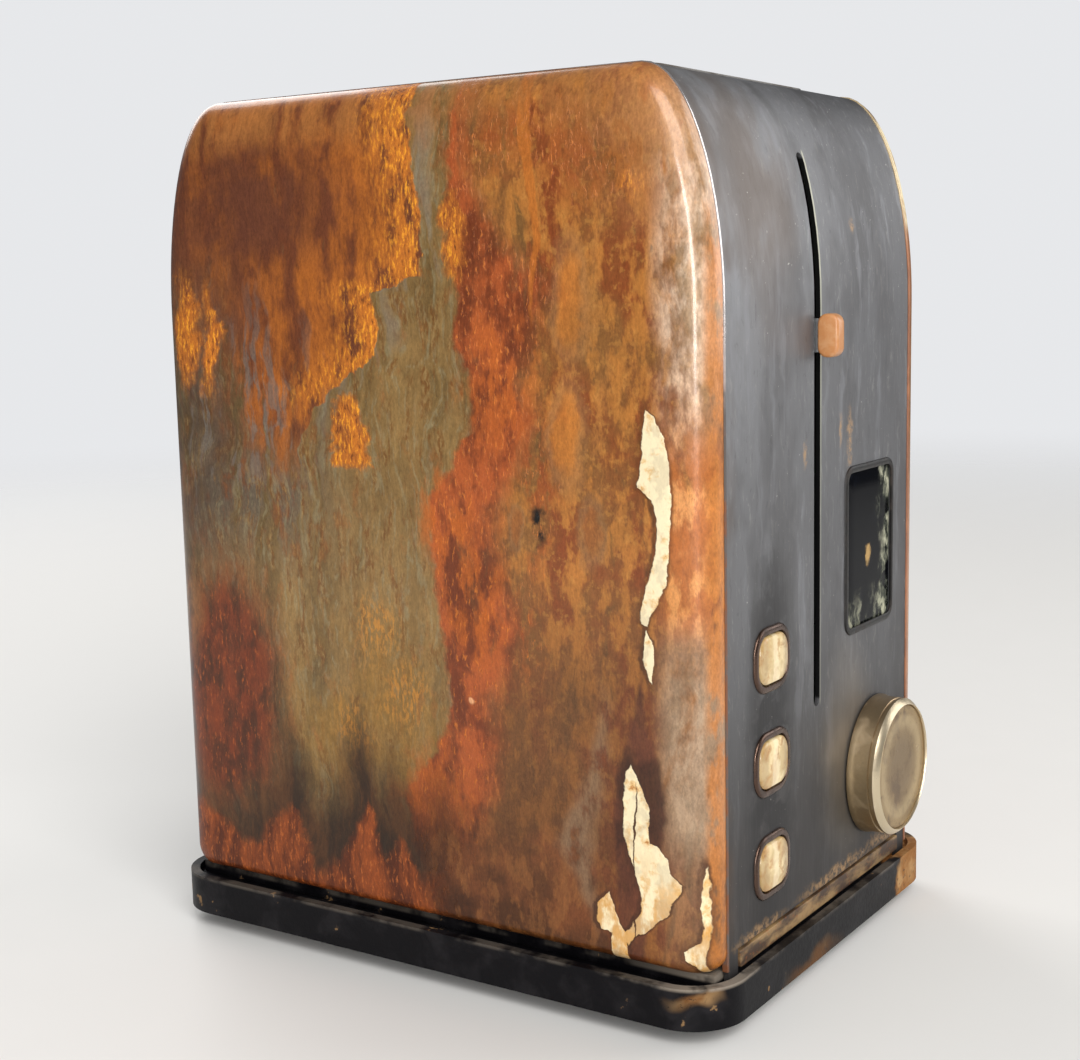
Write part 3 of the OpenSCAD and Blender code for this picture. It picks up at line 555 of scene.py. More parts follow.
class PanelFinish:
    """Rusted steel under old varnish, with the marks of the near or of the far side panel.

    Places on a panel are in mm: Y from the front (-78) to the rear (84), Z from the foot (15)
    to the top (219).
    """

    def __init__(self, name, near):
        self.f = f = Finish(name, colours().rust, metal=0.12, coat_rough=0.13)
        f.set("Specular IOR Level", 0.3)
        self.near = near
        self.seed = 0 if near else 240  # so that the two panels differ
        # Coordinates that give marks more or less wavy edges
        self.ragged = f.warped(7, 22, 3)
        self.rough_edge = f.warped(1.8, 2.6, 3, self.ragged)
        self.torn = f.warped(5.5, 8, 4, self.rough_edge)
        self.crisp = f.warped(0.7, 2.2, 3)
        # Streaks and wide bands that run down the panel, clouds, mottles and two fine textures
        drawn = f.stretched(1, 1, 0.13, self.ragged)
        self.streak = self.noise(6, 4, 3, drawn)
        self.wide = self.noise(22, 3, 8, drawn)
        self.cloud = self.noise(19, 4, 1, self.ragged)
        self.mottle = self.noise(4.2, 4, 17, f.stretched(1, 1, 0.5))
        self.stroke = self.noise(0.85, 3, 5, f.stretched(1, 1, 0.3, self.crisp))
        self.fine = self.noise(0.5, 2, 6, f.stretched(1, 1, 0.6))

    def noise(self, span, detail, seed, where=None):
        return self.f.noise(span, detail, 0.62, where, seed=self.seed + seed)

    def at(self, y, z, ry, rz, soft=0.35, where=None):
        return self.f.patch(where or self.ragged, (0, y, z), (ACROSS, ry, rz), soft)

    def all_at(self, places, where=None):
        return most(self.at(*place, where) for place in places)

    def between(self, rear, front, where, soft, front_soft=0):
        """1 between two outlines, and 0 outside them."""
        _, y, z = self.f.parts(where)
        return ((self.f.curve(z, rear) - y).step(0, soft)
                * (y - self.f.curve(z, front)).step(-front_soft, 0 if front_soft else soft))

    def field(self):
        """The rear and middle of the near panel: bare olive steel with blue-grey streaks."""
        f, c = self.f, colours()
        y, z = f.axis("Y"), f.axis("Z")
        f.look = f.mix(self.streak.step(0.36, 0.64), "66502e", "8d6f42")
        f.lay(self.wide.step(0.46, 0.62) * 0.6, c.olive)
        rearward = y.step(14, 46) * z.step(92, 120)
        f.lay(rearward * self.streak.step(0.38, 0.56) * 0.9, c.slate)
        f.lay(rearward * self.mottle.step(0.5, 0.64) * 0.7, "6b3a20")
        drips = self.noise(2.6, 4, 31, f.stretched(1, 1, 0.22, self.ragged)).step(0.5, 0.66)
        pale = self.noise(1.5, 4, 37, f.stretched(1, 1, 0.1, self.ragged))
        f.lay(pale.step(0.5, 0.66) * 0.5, "8f8464")
        f.lay(drips * 0.75, "74491f")
        f.lay(drips * self.stroke.step(0.46, 0.62) * 0.5, "9a8456")
        warm = self.at(14, 62, 26, 24, 0.6)
        f.lay(warm * self.cloud.step(0.36, 0.6) * 0.7, "856026")
        f.lay(self.mottle.step(0.56, 0.7) * 0.5, "8d5a2c")
        low_left = self.at(66, 66, 20, 34, 0.4)
        f.lay(low_left * 0.95, f.mix((self.streak * 0.5 + self.mottle * 0.5).step(0.4, 0.58),
                                     "46200f", "732f12"))
        f.lay(low_left * self.stroke.step(0.58, 0.7) * 0.6, "a5541f")
        f.lay(self.at(80, 120, 5, 46, 0.5) * self.streak.step(0.4, 0.58) * 0.7, "8a5a30")

    def fresh_rust(self):
        """The mass of fresh rust at the upper rear, sharp at its front edge, and spots like it."""
        f, c = self.f, colours()
        _, y, z = f.parts(self.rough_edge)
        inward = y - f.curve(z, FRESH_RUST_EDGE)
        fringe = inward.step(-9, -1) * inward.step(3, 0) * z.step(128, 150)
        f.lay(fringe * self.streak.step(0.46, 0.6) * 0.6, "776f62")
        mass = inward.step(0, 1.1) * z.step(118, 142) * (1 - y.step(50, 74) * z.step(190, 150))
        back = f.mix((self.streak * 0.6 + self.mottle * 0.4).step(0.4, 0.6), "6b3a22", "a85f24")
        thin = (self.streak * 0.7 + self.wide * 0.3 + z.step(120, 190) * 0.14).step(0.4, 0.52)
        f.lay(mass * thin.most(inward.step(16, 6)), back)
        f.lay(self.at(74, 130, 15, 26, 0.6) * self.cloud.step(0.34, 0.52) * 0.75, "49382c")
        grey = self.noise(3.4, 4, 33, f.stretched(1, 1, 0.16, self.ragged)).step(0.52, 0.64)
        f.lay(self.at(58, 142, 26, 26, 0.7) * grey * 0.7, "6f675e")
        purple = self.at(52, 193, 27, 17, 0.5).most(self.at(64, 176, 18, 22, 0.6) * 0.7)
        f.lay(purple * (self.cloud * 0.5 + self.streak * 0.5).step(0.36, 0.54) * 0.9, c.purple)
        f.lay(z.step(202, 212) * self.streak.step(0.34, 0.6) * 0.75, "9b6434")
        glow = mass * inward.step(20, 2) * z.step(136, 152)
        spots = self.all_at(FRESH_SPOTS, self.torn)
        sparks = self.all_at(SPARKS, self.torn) * self.stroke.step(0.48, 0.58)
        f.lay(spots * 0.9, "9d5520")
        self.bright = (glow + spots).least(1.0)
        f.lay(self.bright * self.mottle.step(0.36, 0.54) * 0.85, "c27022")
        f.lay(self.bright * self.stroke.step(0.5, 0.66) * 0.95, "dd9226")
        f.lay(self.bright * self.stroke.step(0.44, 0.32) * 0.7, "5a2a12")
        f.lay(sparks * 0.6, "b8782a")

    def red_column(self):
        """The column of red rust in the middle, and the mottled field in front of it."""
        f, c = self.f, colours()
        y, z = f.axis("Y"), f.axis("Z")
        ahead = (f.curve(z, RED_COLUMN_FRONT) + 3 - y).step(0, 12)
        field = f.mix((self.wide * 0.5 + self.cloud * 0.5).step(0.4, 0.6), "875a2e", "7d3f1e")
        field = f.mix(self.mottle.step(0.44, 0.6) * 0.8, field, "b37434")
        field = f.mix(self.streak.step(0.58, 0.7) * 0.7, field, "5a4528")
        field = f.mix(self.noise(2.6, 4, 31).step(0.52, 0.66) * 0.45, field, "b9803e")
        field = f.mix(z.step(112, 70) * 0.6, field, "54301a")
        f.lay(ahead, field)
        column = self.between(RED_COLUMN_REAR, RED_COLUMN_FRONT, self.rough_edge, 2.4, 11)
        red = f.mix((self.cloud * 0.5 + self.mottle * 0.5).step(0.4, 0.56), "713319", "a85226")
        red = f.mix(self.streak.step(0.56, 0.7) * 0.6, red, "6a4a2c")
        f.lay(column * 0.95, red)
        hot = self.all_at(HOT_PLACES, self.torn)
        f.lay(hot * self.mottle.step(0.4, 0.6) * 0.8, "b35c20")
        others = self.all_at(RED_PLACES, self.torn)
        f.lay(others * self.mottle.step(0.42, 0.6) * 0.7, "8a3c1c")
        flecks = column.most(others) * self.stroke.step(0.56, 0.68)
        f.lay(flecks * 0.55, "cc7630")
        drip = self.between(((160, -33.4), (172, -33), (181, -34.8), (190, -33.6), (204, -31)),
                            ((160, -34.3), (172, -35), (181, -37.4), (190, -36.4), (204, -35)),
                            self.crisp, 0.7)
        f.lay(drip * z.step(158, 170) * 0.7, "b96a28")
        self.flecks = (flecks + hot * 0.4 + column * 0.25).least(1.0)

    def rings(self):
        """Ringed ovals in front of the column, a black spot and a small bright crater."""
        f = self.f
        for y, z, ry, rz in OVALS:
            inner = self.at(y, z, ry, rz, 0.5, self.rough_edge)
            rim = self.at(y, z, ry * 1.3, rz * 1.25, 0.25, self.rough_edge) - inner
            f.lay(inner * (self.mottle * 0.6 + 0.4), "bd7431" if ry > 3.5 else "93582c")
            f.lay(rim.most(0.0) * 0.6, "85694a")
        spot = self.at(-35.1, 114.5, 1.8, 3.6, 0.4, self.rough_edge)
        f.lay(spot * self.mottle.step(0.34, 0.46), "120f0d")
        f.lay(self.at(-15.4, 73.5, 0.9, 0.9, 0.4), "e0a070")

    def foot(self):
        """Flames of rust that rise from the bottom edge under a dark band."""
        f = self.f
        _, y, z = f.parts(self.rough_edge)
        height = z - f.curve(y, FLAMES)
        band = height.step(36, 6) * y.step(-30, -8) * (1 - self.at(66, 66, 18, 30, 0.4) * 0.8)
        f.lay(band * 0.95, f.mix(self.streak.step(0.4, 0.62), "251308", "45260f"))
        fire = height.step(3, -3) * y.step(-8, 4)
        f.lay(fire * (0.6 + self.streak * 0.5).least(1.0),
              f.mix(self.streak.step(0.38, 0.6), "5c2810", "8e441a"))
        f.lay(fire * self.stroke.step(0.54, 0.68) * 0.6, "b0602a")
        brown = z.step(66, 24) * y.step(6, -10) * y.step(-62, -46)
        f.lay(brown * 0.8, f.mix(self.cloud.step(0.4, 0.6), "43230f", "6a3b1d"))
        f.lay(brown * self.mottle.step(0.5, 0.62) * 0.5, "87552c")
        self.flecks = (self.flecks + fire * 0.5).least(1.0)

    def front_edge(self):
        """The rolled front edge: pale where it is rubbed, with a painted highlight on its upper part,
        orange between, dark by the chips.
        """
        f = self.f
        y, z = f.axis("Y"), f.axis("Z")
        grey = self.between(((20, -46), (40, -37), (66, -48), (84, -50)),
                            ((20, -50), (40, -50), (66, -57), (84, -54)), self.ragged, 5)
        f.lay(grey * self.mottle.step(0.36, 0.58) * 0.5, "7c6c56")
        roll = y.step(-63, -71)
        orange = roll * f.curve(z, ROLL_RUBBED_AND_HIGHLIT).step(0.6, 0.2) * z.step(40, 60)
        f.lay(orange * self.streak.step(0.34, 0.54) * 0.9, "ad5f22")
        f.lay(orange * self.mottle.step(0.5, 0.66) * 0.8, "d9924c")
        f.lay(orange * self.stroke.step(0.56, 0.7) * 0.6, "8a4a20")
        pale = roll * f.curve(z, ROLL_RUBBED_AND_HIGHLIT) * (self.streak * 0.5 + self.cloud * 0.5).step(0.34, 0.52)
        # grey-beige where rubbed, turning above about 140 mm into a whitish painted highlight
        light = f.mix(z.step(96, 140), "b5a086", "e2d2be")
        f.lay(pale * 0.72, f.mix(self.mottle.step(0.38, 0.66), "a28a6e", light))
        upper = self.at(-64, 204, 13, 15, 0.8)
        f.lay(upper * self.cloud.step(0.36, 0.58) * 0.6, "a9784a")
        f.lay(upper * self.mottle.step(0.5, 0.64) * 0.6, "8c4f26")
        f.lay(y.step(-75.4, -77.4) * self.mottle.step(0.36, 0.56) * 0.75, "b8702f")
        dark = self.between(*DARK_BY_CHIPS, self.crisp, 1.6)
        f.lay(dark * 0.85, f.mix(self.cloud.step(0.4, 0.6), "3a1d12", "5c3220"))

    def chips(self):
        """Old cream paint, stained and curled, with painted shade in its curls and a thin dark line
        around it.
        """
        f = self.f
        marks, rims = [], []
        for rear, front in PAINT_CHIPS:
            marks.append(self.between(rear, front, self.crisp, 0.3))
            wider = self.between([(z, y + 1.5) for z, y in rear], [(z, y - 0.8) for z, y in front],
                                 self.crisp, 0.9)
            low, high = rear[0][0], rear[-1][0]
            inside = f.parts(self.crisp)[2].step(low - 2, low) * f.axis("Z").step(high + 3, high)
            rims.append(wider * inside)
        chip, rim = most(marks), most(rims)
        f.lay(rim * (0.3 + self.mottle.step(0.42, 0.6) * 0.5), "3b2012")
        stain = self.noise(3.4, 4, 20, self.crisp)
        paint = f.mix(stain.step(0.5, 0.66) * 0.8, colours().cream, "dcae6a")
        paint = f.mix(stain.step(0.62, 0.74) * 0.9, paint, "a8621e")
        low_stain = f.axis("Z").step(48, 27) * self.mottle.step(0.38, 0.56)
        paint = f.mix(low_stain * 0.8, paint, "cc8f38")
        # painted shade: grey where the paint curls
        fold_shade = self.noise(7, 3, 27, self.crisp)
        paint = f.mix(fold_shade.step(0.5, 0.6) * 0.35, paint, "b9a88c")
        crack = self.between(((44, -58.6), (50, -58.9), (57, -59.6), (61, -59.4)),
                             ((44, -59.2), (50, -59.8), (57, -60.1), (61, -59.5)), self.crisp, 0.25)
        paint = f.mix(crack, paint, "4a2c18")
        f.lay(chip, paint)
        return chip, rim

    def far_marks(self):
        """The far panel: mottled rust with paint left at its top front corner."""
        f, c = self.f, colours()
        blend = self.cloud * 0.45 + self.mottle * 0.4 + self.streak * 0.15
        f.look = f.mix(blend.step(0.4, 0.58), "6a3c20", "8c602f")
        f.lay(self.at(34, 120, 30, 70, 0.6) * self.wide.step(0.38, 0.56) * 0.9, c.olive)
        f.lay(self.at(-16, 150, 20, 44, 0.6) * self.mottle.step(0.44, 0.6) * 0.7, c.slate)
        f.lay(self.at(-30, 66, 28, 34, 0.6) * self.cloud.step(0.36, 0.54) * 0.85, c.purple)
        self.bright = (self.all_at(FAR_SPOTS, self.torn)
                       * (self.cloud * 0.5 + self.streak * 0.5).step(0.4, 0.52))
        f.lay(self.bright * 0.9, f.mix(self.mottle.step(0.4, 0.58), "7c3c1a", "b06624"))
        f.lay(self.bright * self.stroke.step(0.54, 0.68) * 0.7, "d08828")
        f.lay(f.axis("Z").step(50, 24) * self.streak.step(0.36, 0.6) * 0.8, "7a3a16")
        f.lay(f.axis("Y").step(-66, -74) * self.streak.step(0.34, 0.5) * 0.8, "a4683a")
        self.flecks = self.bright * 0.6
        chip = self.at(-75, 203, 10, 20, 0.2, self.rough_edge)
        chip = chip.most(self.at(34, 42, 6, 14, 0.14, self.rough_edge))
        stain = self.noise(6, 4, 20)
        f.lay(chip, f.mix(stain.step(0.46, 0.66) * 0.8, colours().cream, "b08a54"))
        return chip, chip * 0.0

    def make(self):
        f = self.f
        if self.near:
            self.field()
            self.red_column()
            self.fresh_rust()
            self.rings()
            self.foot()
            self.front_edge()
            chip, rim = self.chips()
        else:
            chip, rim = self.far_marks()
        shade = (self.cloud - 0.5) * 0.6 + (self.fine - 0.5) * 0.7 + (self.stroke - 0.5) * 0.8 + 1.0
        shade = f.number(1.0) + (shade - 1.0) * (1 - chip * 0.75)
        f.look = f.vector("SCALE", f.look, shade)
        pitted = (self.bright + self.flecks).least(1.0)
        rough = (pitted * 0.26 + 0.33 + (self.mottle - 0.5) * 0.2 + chip * 0.1).least(0.9)
        coated = (1 - pitted * 0.85) * (1 - chip * 0.8) * (f.axis("Z").step(10, 120) * 0.3 + 0.12)
        f.set("Coat Weight", coated)
        relief = (pitted * self.stroke * 0.6 + chip * 0.5 - rim * 0.15 + self.fine * 0.05
                  + self.mottle * 0.14)
        return f.wear(rough, relief, 0.4)


def cover_finish():
    """Grey steel, brushed upright: a painted sheen at its upper left and around the dial, dark and
    stained at its foot, with a painted shadow in the lever's slot and a painted highlight along the
    slot's right edge.
    """
    f = Finish("grey cover", colours().band, rough=0.42, metal=0.6)
    x, z = f.axis("X"), f.axis("Z")
    front = f.axis("Y").step(10, -10)
    brushed = f.noise(0.55, 3, 0.6, f.stretched(1, 1, 0.05))
    streak = f.noise(5, 4, 0.6, f.stretched(1, 1, 0.09, f.warped(3, 14)))
    broad = f.noise(17, 3, 0.55, f.stretched(1, 1, 0.35, f.warped(7, 20)))
    stain = f.noise(9, 4, 0.6, f.warped(5, 9))
    dirt = f.noise(1.6, 3, 0.7)
    # painted sheen: lighter towards the upper left, where the light falls
    f.lay(x.step(38, -50) * z.step(60, 190) * 0.6, "949496")
    scuff = f.noise(1.1, 4, 0.7, f.stretched(1, 1, 0.12, f.warped(2, 6)))
    f.lay(scuff.step(0.56, 0.7) * 0.35, "a3a19c")
    f.lay(scuff.step(0.42, 0.3) * 0.35, "3c3a3a")
    f.lay(broad.step(0.44, 0.66) * 0.5, "4c4a4a")
    f.lay(streak.step(0.52, 0.7) * 0.45, "8f9094")
    veil = f.patch(f.warped(9, 20), (-32, -60, 192), (16, 60, 26), 0.6)
    f.lay(veil * broad.step(0.36, 0.56) * 0.45, "6e5c4c")
    low_dark = z.step(100, 30)
    f.lay(low_dark * 0.85, "26211e")
    by_buttons = f.patch(f.warped(5, 9), (-30.5, 0, 60), (11, ACROSS, 44), 0.5)
    f.lay(by_buttons * front * stain.step(0.34, 0.52) * 0.8, "201f20")
    # painted light: the cover lighter around the dial
    painted_glow_by_dial = f.patch(f.warped(5, 9), (14, 0, 52), (11, ACROSS, 20), 0.9)
    f.lay(painted_glow_by_dial * front * 0.5, "8a7f70")
    f.lay(x.step(-46, -53) * broad.step(0.38, 0.6) * 0.5, "5c4838")
    smudge = f.patch(f.warped(4, 7), (-31, -78, 97), (8, 20, 9), 0.8)
    f.lay(smudge * front * 0.5, "2c2a2a")
    spots = most(f.patch(f.warped(2, 3), (px, 0, pz), (rx, ACROSS, rz), 0.6)
                 for px, pz, rx, rz in COVER_SPOTS) * dirt.step(0.36, 0.6)
    f.lay(spots * 0.75, "a07c50")
    specks = f.noise(0.9, 2, 0.5).step(0.7, 0.76) * f.noise(14, 2).step(0.45, 0.6)
    f.lay(specks * 0.5, "c9c4bc")
    from_slot = x - LEVER_X / MM
    # painted shadow: the walls of the lever's slot are near black
    inside = from_slot.size().step(SLOT_HALF + 0.14, SLOT_HALF + 0.04)
    inside = inside * z.step(SLOT_HEAD - 1, SLOT_HEAD - 2) * z.step(SLOT_FOOT + 1, SLOT_FOOT + 2)
    f.lay(inside * front, "08080a")
    # painted highlight: a pale line beside the slot's right edge, brighter towards the top
    lip = (from_slot - SLOT_HALF - 0.45).size().step(0.46, 0.26)
    lip = lip * z.step(SLOT_HEAD + 0.7, SLOT_HEAD - 0.5) * z.step(SLOT_FOOT - 1, SLOT_FOOT + 1)
    f.lay(lip * front * (z.step(90, 200) * 0.55 + 0.2), "c9c6b0")
    dull = spots.most(specks).most(low_dark * 0.3)
    rough = 0.36 + brushed * 0.14 + low_dark * 0.1 + broad * 0.08
    return f.wear(rough, brushed * 0.6 + stain * 0.4, 0.03, (1 - dull) * 0.6)


def bead_finish(near):
    """Bright bead, worn to dark metal and rust down the near seam; rust and paint on the far one."""
    f = Finish("near bead" if near else "far bead", "d8d0ca", rough=0.22, metal=0.9)
    blot = f.noise(9, 4, 0.6, f.warped(4, 9))
    z = f.axis("Z")
    if near:
        worn = (z + (blot - 0.5) * 60).step(176, 134).most(f.axis("Y").step(-58, -34))
        f.look = f.mix(worn, "ded8d6", f.mix(blot.step(0.42, 0.6), "5c5450", "7a4a2c"))
    else:
        worn = (z + (blot - 0.5) * 20).step(192, 180)
        f.look = f.mix(worn, "cbb48c", f.mix(blot.step(0.42, 0.6), "8a5a40", "a06a4a"))
    return f.wear(worn * 0.3 + 0.2, blot, 0.05, 0.85 - worn * 0.5 if near else 0.35 - worn * 0.1)


def worn_metal(name, base, dark, rough, metal, span, share, drawn=(1, 1, 1)):
    """Metal with broad tarnish, small pits and fine scratches."""
    f = Finish(name, base, rough=rough, metal=metal)
    blot = f.noise(span, 4, 0.6, f.warped(span * 0.4, span))
    pits = f.noise(span * 0.14, 3, 0.7)
    lines = f.noise(0.5, 2, 0.6, f.stretched(*drawn))
    dull = blot.step(0.46, 0.7)
    f.lay(dull * share, dark)
    f.lay(pits.step(0.6, 0.72) * share * 0.7, dark)
    return f.wear(dull * 0.2 + lines * 0.12 + (rough - 0.06), lines * 0.5 + pits * 0.5, 0.03,
                  1 - dull * 0.3 - (1 - metal))


def moulded(name, base, rough, span, mark, share, coat=0.0):
    """Moulded plastic or rubber with a fine texture and some grime."""
    f = Finish(name, base, rough=rough, coat=coat)
    texture = f.noise(span * 0.2, 2, 0.5)
    grime = f.noise(span * 3, 4, 0.65, f.warped(span, span * 2)).step(0.48, 0.7)
    f.lay(grime * share, mark)
    return f.wear(texture * 0.1 + grime * 0.15 + (rough - 0.05), texture, 0.02)


def base_finish():
    f = Finish("black base", colours().base, rough=0.5)
    f.set("Specular IOR Level", 0.12)
    where = f.warped(6, 12)
    grime = f.noise(11, 4, 0.6, where)
    fine = f.noise(1.2, 3, 0.65)
    rust = f.patch(f.warped(4, 5), (52, -80, 8), (13, 14, 9), 0.12)
    rust = rust.most(f.patch(where, (-14, -86, 4), (12, 12, 3), 0.7) * 0.4)
    rust = rust.most(f.patch(where, (-64, -76, 11), (4, 6, 1.8), 0.7) * 0.6)
    rust = rust.most((grime * f.noise(3.5, 3, 0.6)).step(0.385, 0.44) * 0.5)
    rust = rust * fine.step(0.24, 0.44)
    f.lay(grime.step(0.45, 0.7) * 0.6, "242224")
    f.lay(rust, f.mix(grime.step(0.42, 0.6), "8a5c30", "a98458"))
    edge = f.axis("Z").step(12.9, 13.8) * f.noise(16, 4, 0.6).step(0.44, 0.58)
    corner = f.patch(f.mm, (-60, -78, 14), (14, 14, 3), 0.8)
    f.lay(edge * (corner * 0.6 + 0.25), "8c8174")
    return f.wear(rust * 0.3 + fine * 0.15 + 0.36, fine * 0.5 + rust * 0.5, 0.12)


def lip_finish():
    f = Finish("tan tray lip", "6c5337", rough=0.5)
    rub = f.noise(5, 4, 0.6, f.stretched(0.35, 1, 1))
    fine = f.noise(0.9, 3, 0.6)
    f.look = f.mix(rub.step(0.4, 0.62), "3f2c1e", "957850")
    f.lay(fine.step(0.58, 0.7) * 0.6, "8a4f22")
    return f.wear(0.4 + rub * 0.3, fine, 0.05)


def cap_finish():
    f = Finish("ivory cap", colours().cap, rough=0.32, coat=0.4, coat_rough=0.12)
    stain = f.noise(4.2, 4, 0.62, f.warped(3, 4))
    fine = f.noise(0.8, 3, 0.6)
    broad = f.noise(9, 3, 0.6, f.warped(4, 7))
    f.lay(broad.step(0.42, 0.56) * 0.8, "b89a62")
    f.lay(stain.step(0.46, 0.62) * 0.75, "b07c3a")
    f.lay(stain.step(0.62, 0.72) * 0.8, "6c4020")
    f.lay(fine.step(0.68, 0.78) * 0.5, "5e3a1e")
    # brown stain with painted shade towards the cap's left and right sides, and a painted highlight
    # down its middle
    aside = (f.axis("X") - middle(BUTTONS[0][0]).x / MM + (stain - 0.5) * 5).size()
    f.lay(aside.step(2.6, 5.4) * 0.55, "8c6a3c")
    f.lay(aside.step(2.2, 0.6) * 0.5, "f2e3bd")
    return f.wear(stain * 0.3 + 0.2, fine * 0.4 + stain * 0.6, 0.05)


def lever_finish():
    f = Finish("copper tan lever", colours().lever, rough=0.38, coat=0.2)
    wear = f.noise(3.5, 4, 0.6, f.warped(2, 3))
    fine = f.noise(0.7, 3, 0.6)
    f.lay(wear.step(0.42, 0.66) * 0.6, "c39468")
    f.lay(fine.step(0.66, 0.78) * 0.5, "8a5a30")
    return f.wear(wear * 0.3 + 0.24, fine, 0.04)


def window_finish():
    box_low, box_high = low("display_window") / MM, high("display_window") / MM
    f = Finish("clouded window", "0e1016", rough=0.12)
    f.set("Specular IOR Level", 0.05)
    where = f.warped(7, 7, 3)
    fine = f.noise(4.2, 5, 0.62, f.stretched(1, 1, 0.5, f.warped(2.5, 4)))
    across, _, up = f.parts(where)
    right = across.step(box_high.x - 9, box_high.x - 3)
    foot = up.step(box_low.z + 11, box_low.z + 2)
    cloud = (right.most(foot * 0.55) * fine.step(0.36, 0.58)).least(0.9)
    inner = f.noise(7, 3, 0.6).step(0.55, 0.75) * 0.35
    f.look = f.mix(inner, "040509", "151922")
    f.lay(cloud, f.mix(fine.step(0.44, 0.66), "4c5046", "c2c0a6"))
    spot = f.patch(f.warped(1.5, 2), (27.5, 0, 100), (1.7, ACROSS, 2.6), 0.35)
    f.lay(spot, "a98a5a")
    dull = cloud.most(spot)
    return f.wear(dull * 0.5 + 0.1, dull * fine, 0.12)


def dial_finish(name, radial):
    f = Finish(name, colours().dial, rough=0.34, metal=0.55)
    centre = middle("dial") / MM
    off = f.vector("SUBTRACT", f.mm, tuple(centre))
    reach = f.vector("LENGTH", f.vector("MULTIPLY", off, (1, 0, 1)), output=1)
    rings = f.node("ShaderNodeTexNoise", {"noise_dimensions": "1D"},
                   {"W": reach * 3.2, "Scale": 1.0, "Detail": 3.0})
    blot = f.noise(7, 4, 0.6, f.warped(4, 7))
    fine = f.noise(0.8, 3, 0.6)
    f.lay(blot.step(0.44, 0.68), "6e5638")
    f.lay(fine.step(0.6, 0.74) * 0.5, "4a3624")
    if radial:
        f.lay(reach.step(14, 5) * 0.55, "5f4a33")
        # painted highlight: a pale ring on the face
        f.lay(reach.step(9, 12) * reach.step(14.5, 13) * 0.35, "cdb78e")
        relief, tall = rings * 0.6 + fine * 0.4, 0.05
    else:
        y = f.axis("Y")
        # painted light: lighter towards the top and the left side
        f.lay(f.axis("Z").step(44, 60) * 0.6, "b9a284")
        f.lay(f.axis("X").step(28, 14) * 0.5, "cbb592")
        # painted shade: darker at the back, where the dial meets the cover
        f.lay(y.step(FRONT / MM - 3, FRONT / MM - 0.5) * 0.3, "4e3c2a")
        # painted highlight: a pale band on the front chamfer
        chamfer_highlight = (low("dial").y / MM + 1.7 - y).step(0, 0.25)
        f.lay(chamfer_highlight * 0.8, "dccdb0")
        relief, tall = fine, 0.04
    return f.wear(blot * 0.3 + 0.18, relief, tall, 0.9 - blot.step(0.5, 0.7) * 0.35)


def mica_finish():
    f = Finish("mica board", "b9a982", rough=0.5)
    flake = f.noise(5, 4, 0.65, f.stretched(1, 1, 1.6))
    scorch = f.noise(30, 2, 0.5)
    f.look = f.mix(flake.step(0.4, 0.65), "a8956c", "cfc09a")
    f.lay(scorch.step(0.45, 0.7) * 0.6, "6e563a")
    return f.wear(0.5, flake, 0.05)


def board_finish():
    f = Finish("green board", "1f5a33", rough=0.38, coat=0.3)
    f.set("Base Color", f.node("ShaderNodeTexBrick", {"offset": 0.5}, {
        "Vector": f.stretched(1, 1, 1), "Scale": 0.22, "Mortar Size": 0.03, "Color1": "1f5a33",
        "Color2": "23663a", "Mortar": "3b8a52"}))
    return f


# Operators, one for each piece or group of like pieces

class Step:
    """What the operators share: each one makes its pieces and is then finished."""

    def execute(self, context):
        self.make()
        return {"FINISHED"}


class MakeSidePanels(Step, bpy.types.Operator):
    """Pressed side panels with a rolled edge, rounded top corners and small bottom corners"""
    bl_idname = "toaster.side_panels"
    bl_label = "Side panels"

    def make(self):
        s = shape()
        depth = PANEL_FACE - COVER_EDGE
        for node, near in (("left_side_panel", True), ("right_side_panel", False)):
            side = -1 if near else 1
            rings = self.pan(side, depth, 0.0, 1)
            inner = self.pan(side, depth - s.panel_sheet, s.panel_sheet, -1)
            piece = loft("near_side_panel" if near else "far_side_panel", rings + inner)
            finish = PanelFinish("rusted near panel" if near else "rusted far panel", near).make()
            stand_in(piece, finish, "casing", node)

    def pan(self, side, depth, inset, way):
        """Rings from the middle of the face to the open edge, or back for the inner wall."""
        s = shape()
        turns = 14
        rings = []
        for k in range(turns + 1):
            angle = math.radians(90 * k / turns)
            roll = 1 - max(0, math.cos(angle)) ** (2 / s.roll_square)
            x = COVER_EDGE + depth * math.sin(angle) ** (2 / s.roll_square)
            flat = casing_outline(inset + s.roll_width * roll, inset + s.roll_low * roll)
            rings.append([Vector((side * x, y, z)) for y, z in flat])
        centre = sum(rings[-1], Vector()) / len(rings[-1])
        for share in (0.7, 0.35):
            rings.append([centre + (p - centre) * share for p in rings[turns]])
        rings.append([centre])
        return rings[::-1] if way > 0 else rings


class MakeCover(Step, bpy.types.Operator):
    """Cover band, seam beads and the rim around the bread slots"""
    bl_idname = "toaster.cover"
    bl_label = "Cover and trim"

    def make(self):
        cover = softened("cover", "cover_band", 0.12)
        stand_in(cover, cover_finish(), "casing", "cover")
        for node, near in (("left_seam_bead", True), ("right_seam_bead", False)):
            bead = softened(node, node, 0.2)
            stand_in(bead, bead_finish(near), "casing", node)
        rim = softened("slot_surround", "slot_rim", 0.35)
        finish = worn_metal("dark slot rim", "6a6763", "4a3a2c", 0.4, 0.8, 10, 0.6, (1, 0.04, 1))
        stand_in(rim, finish, "casing", "slot_surround")


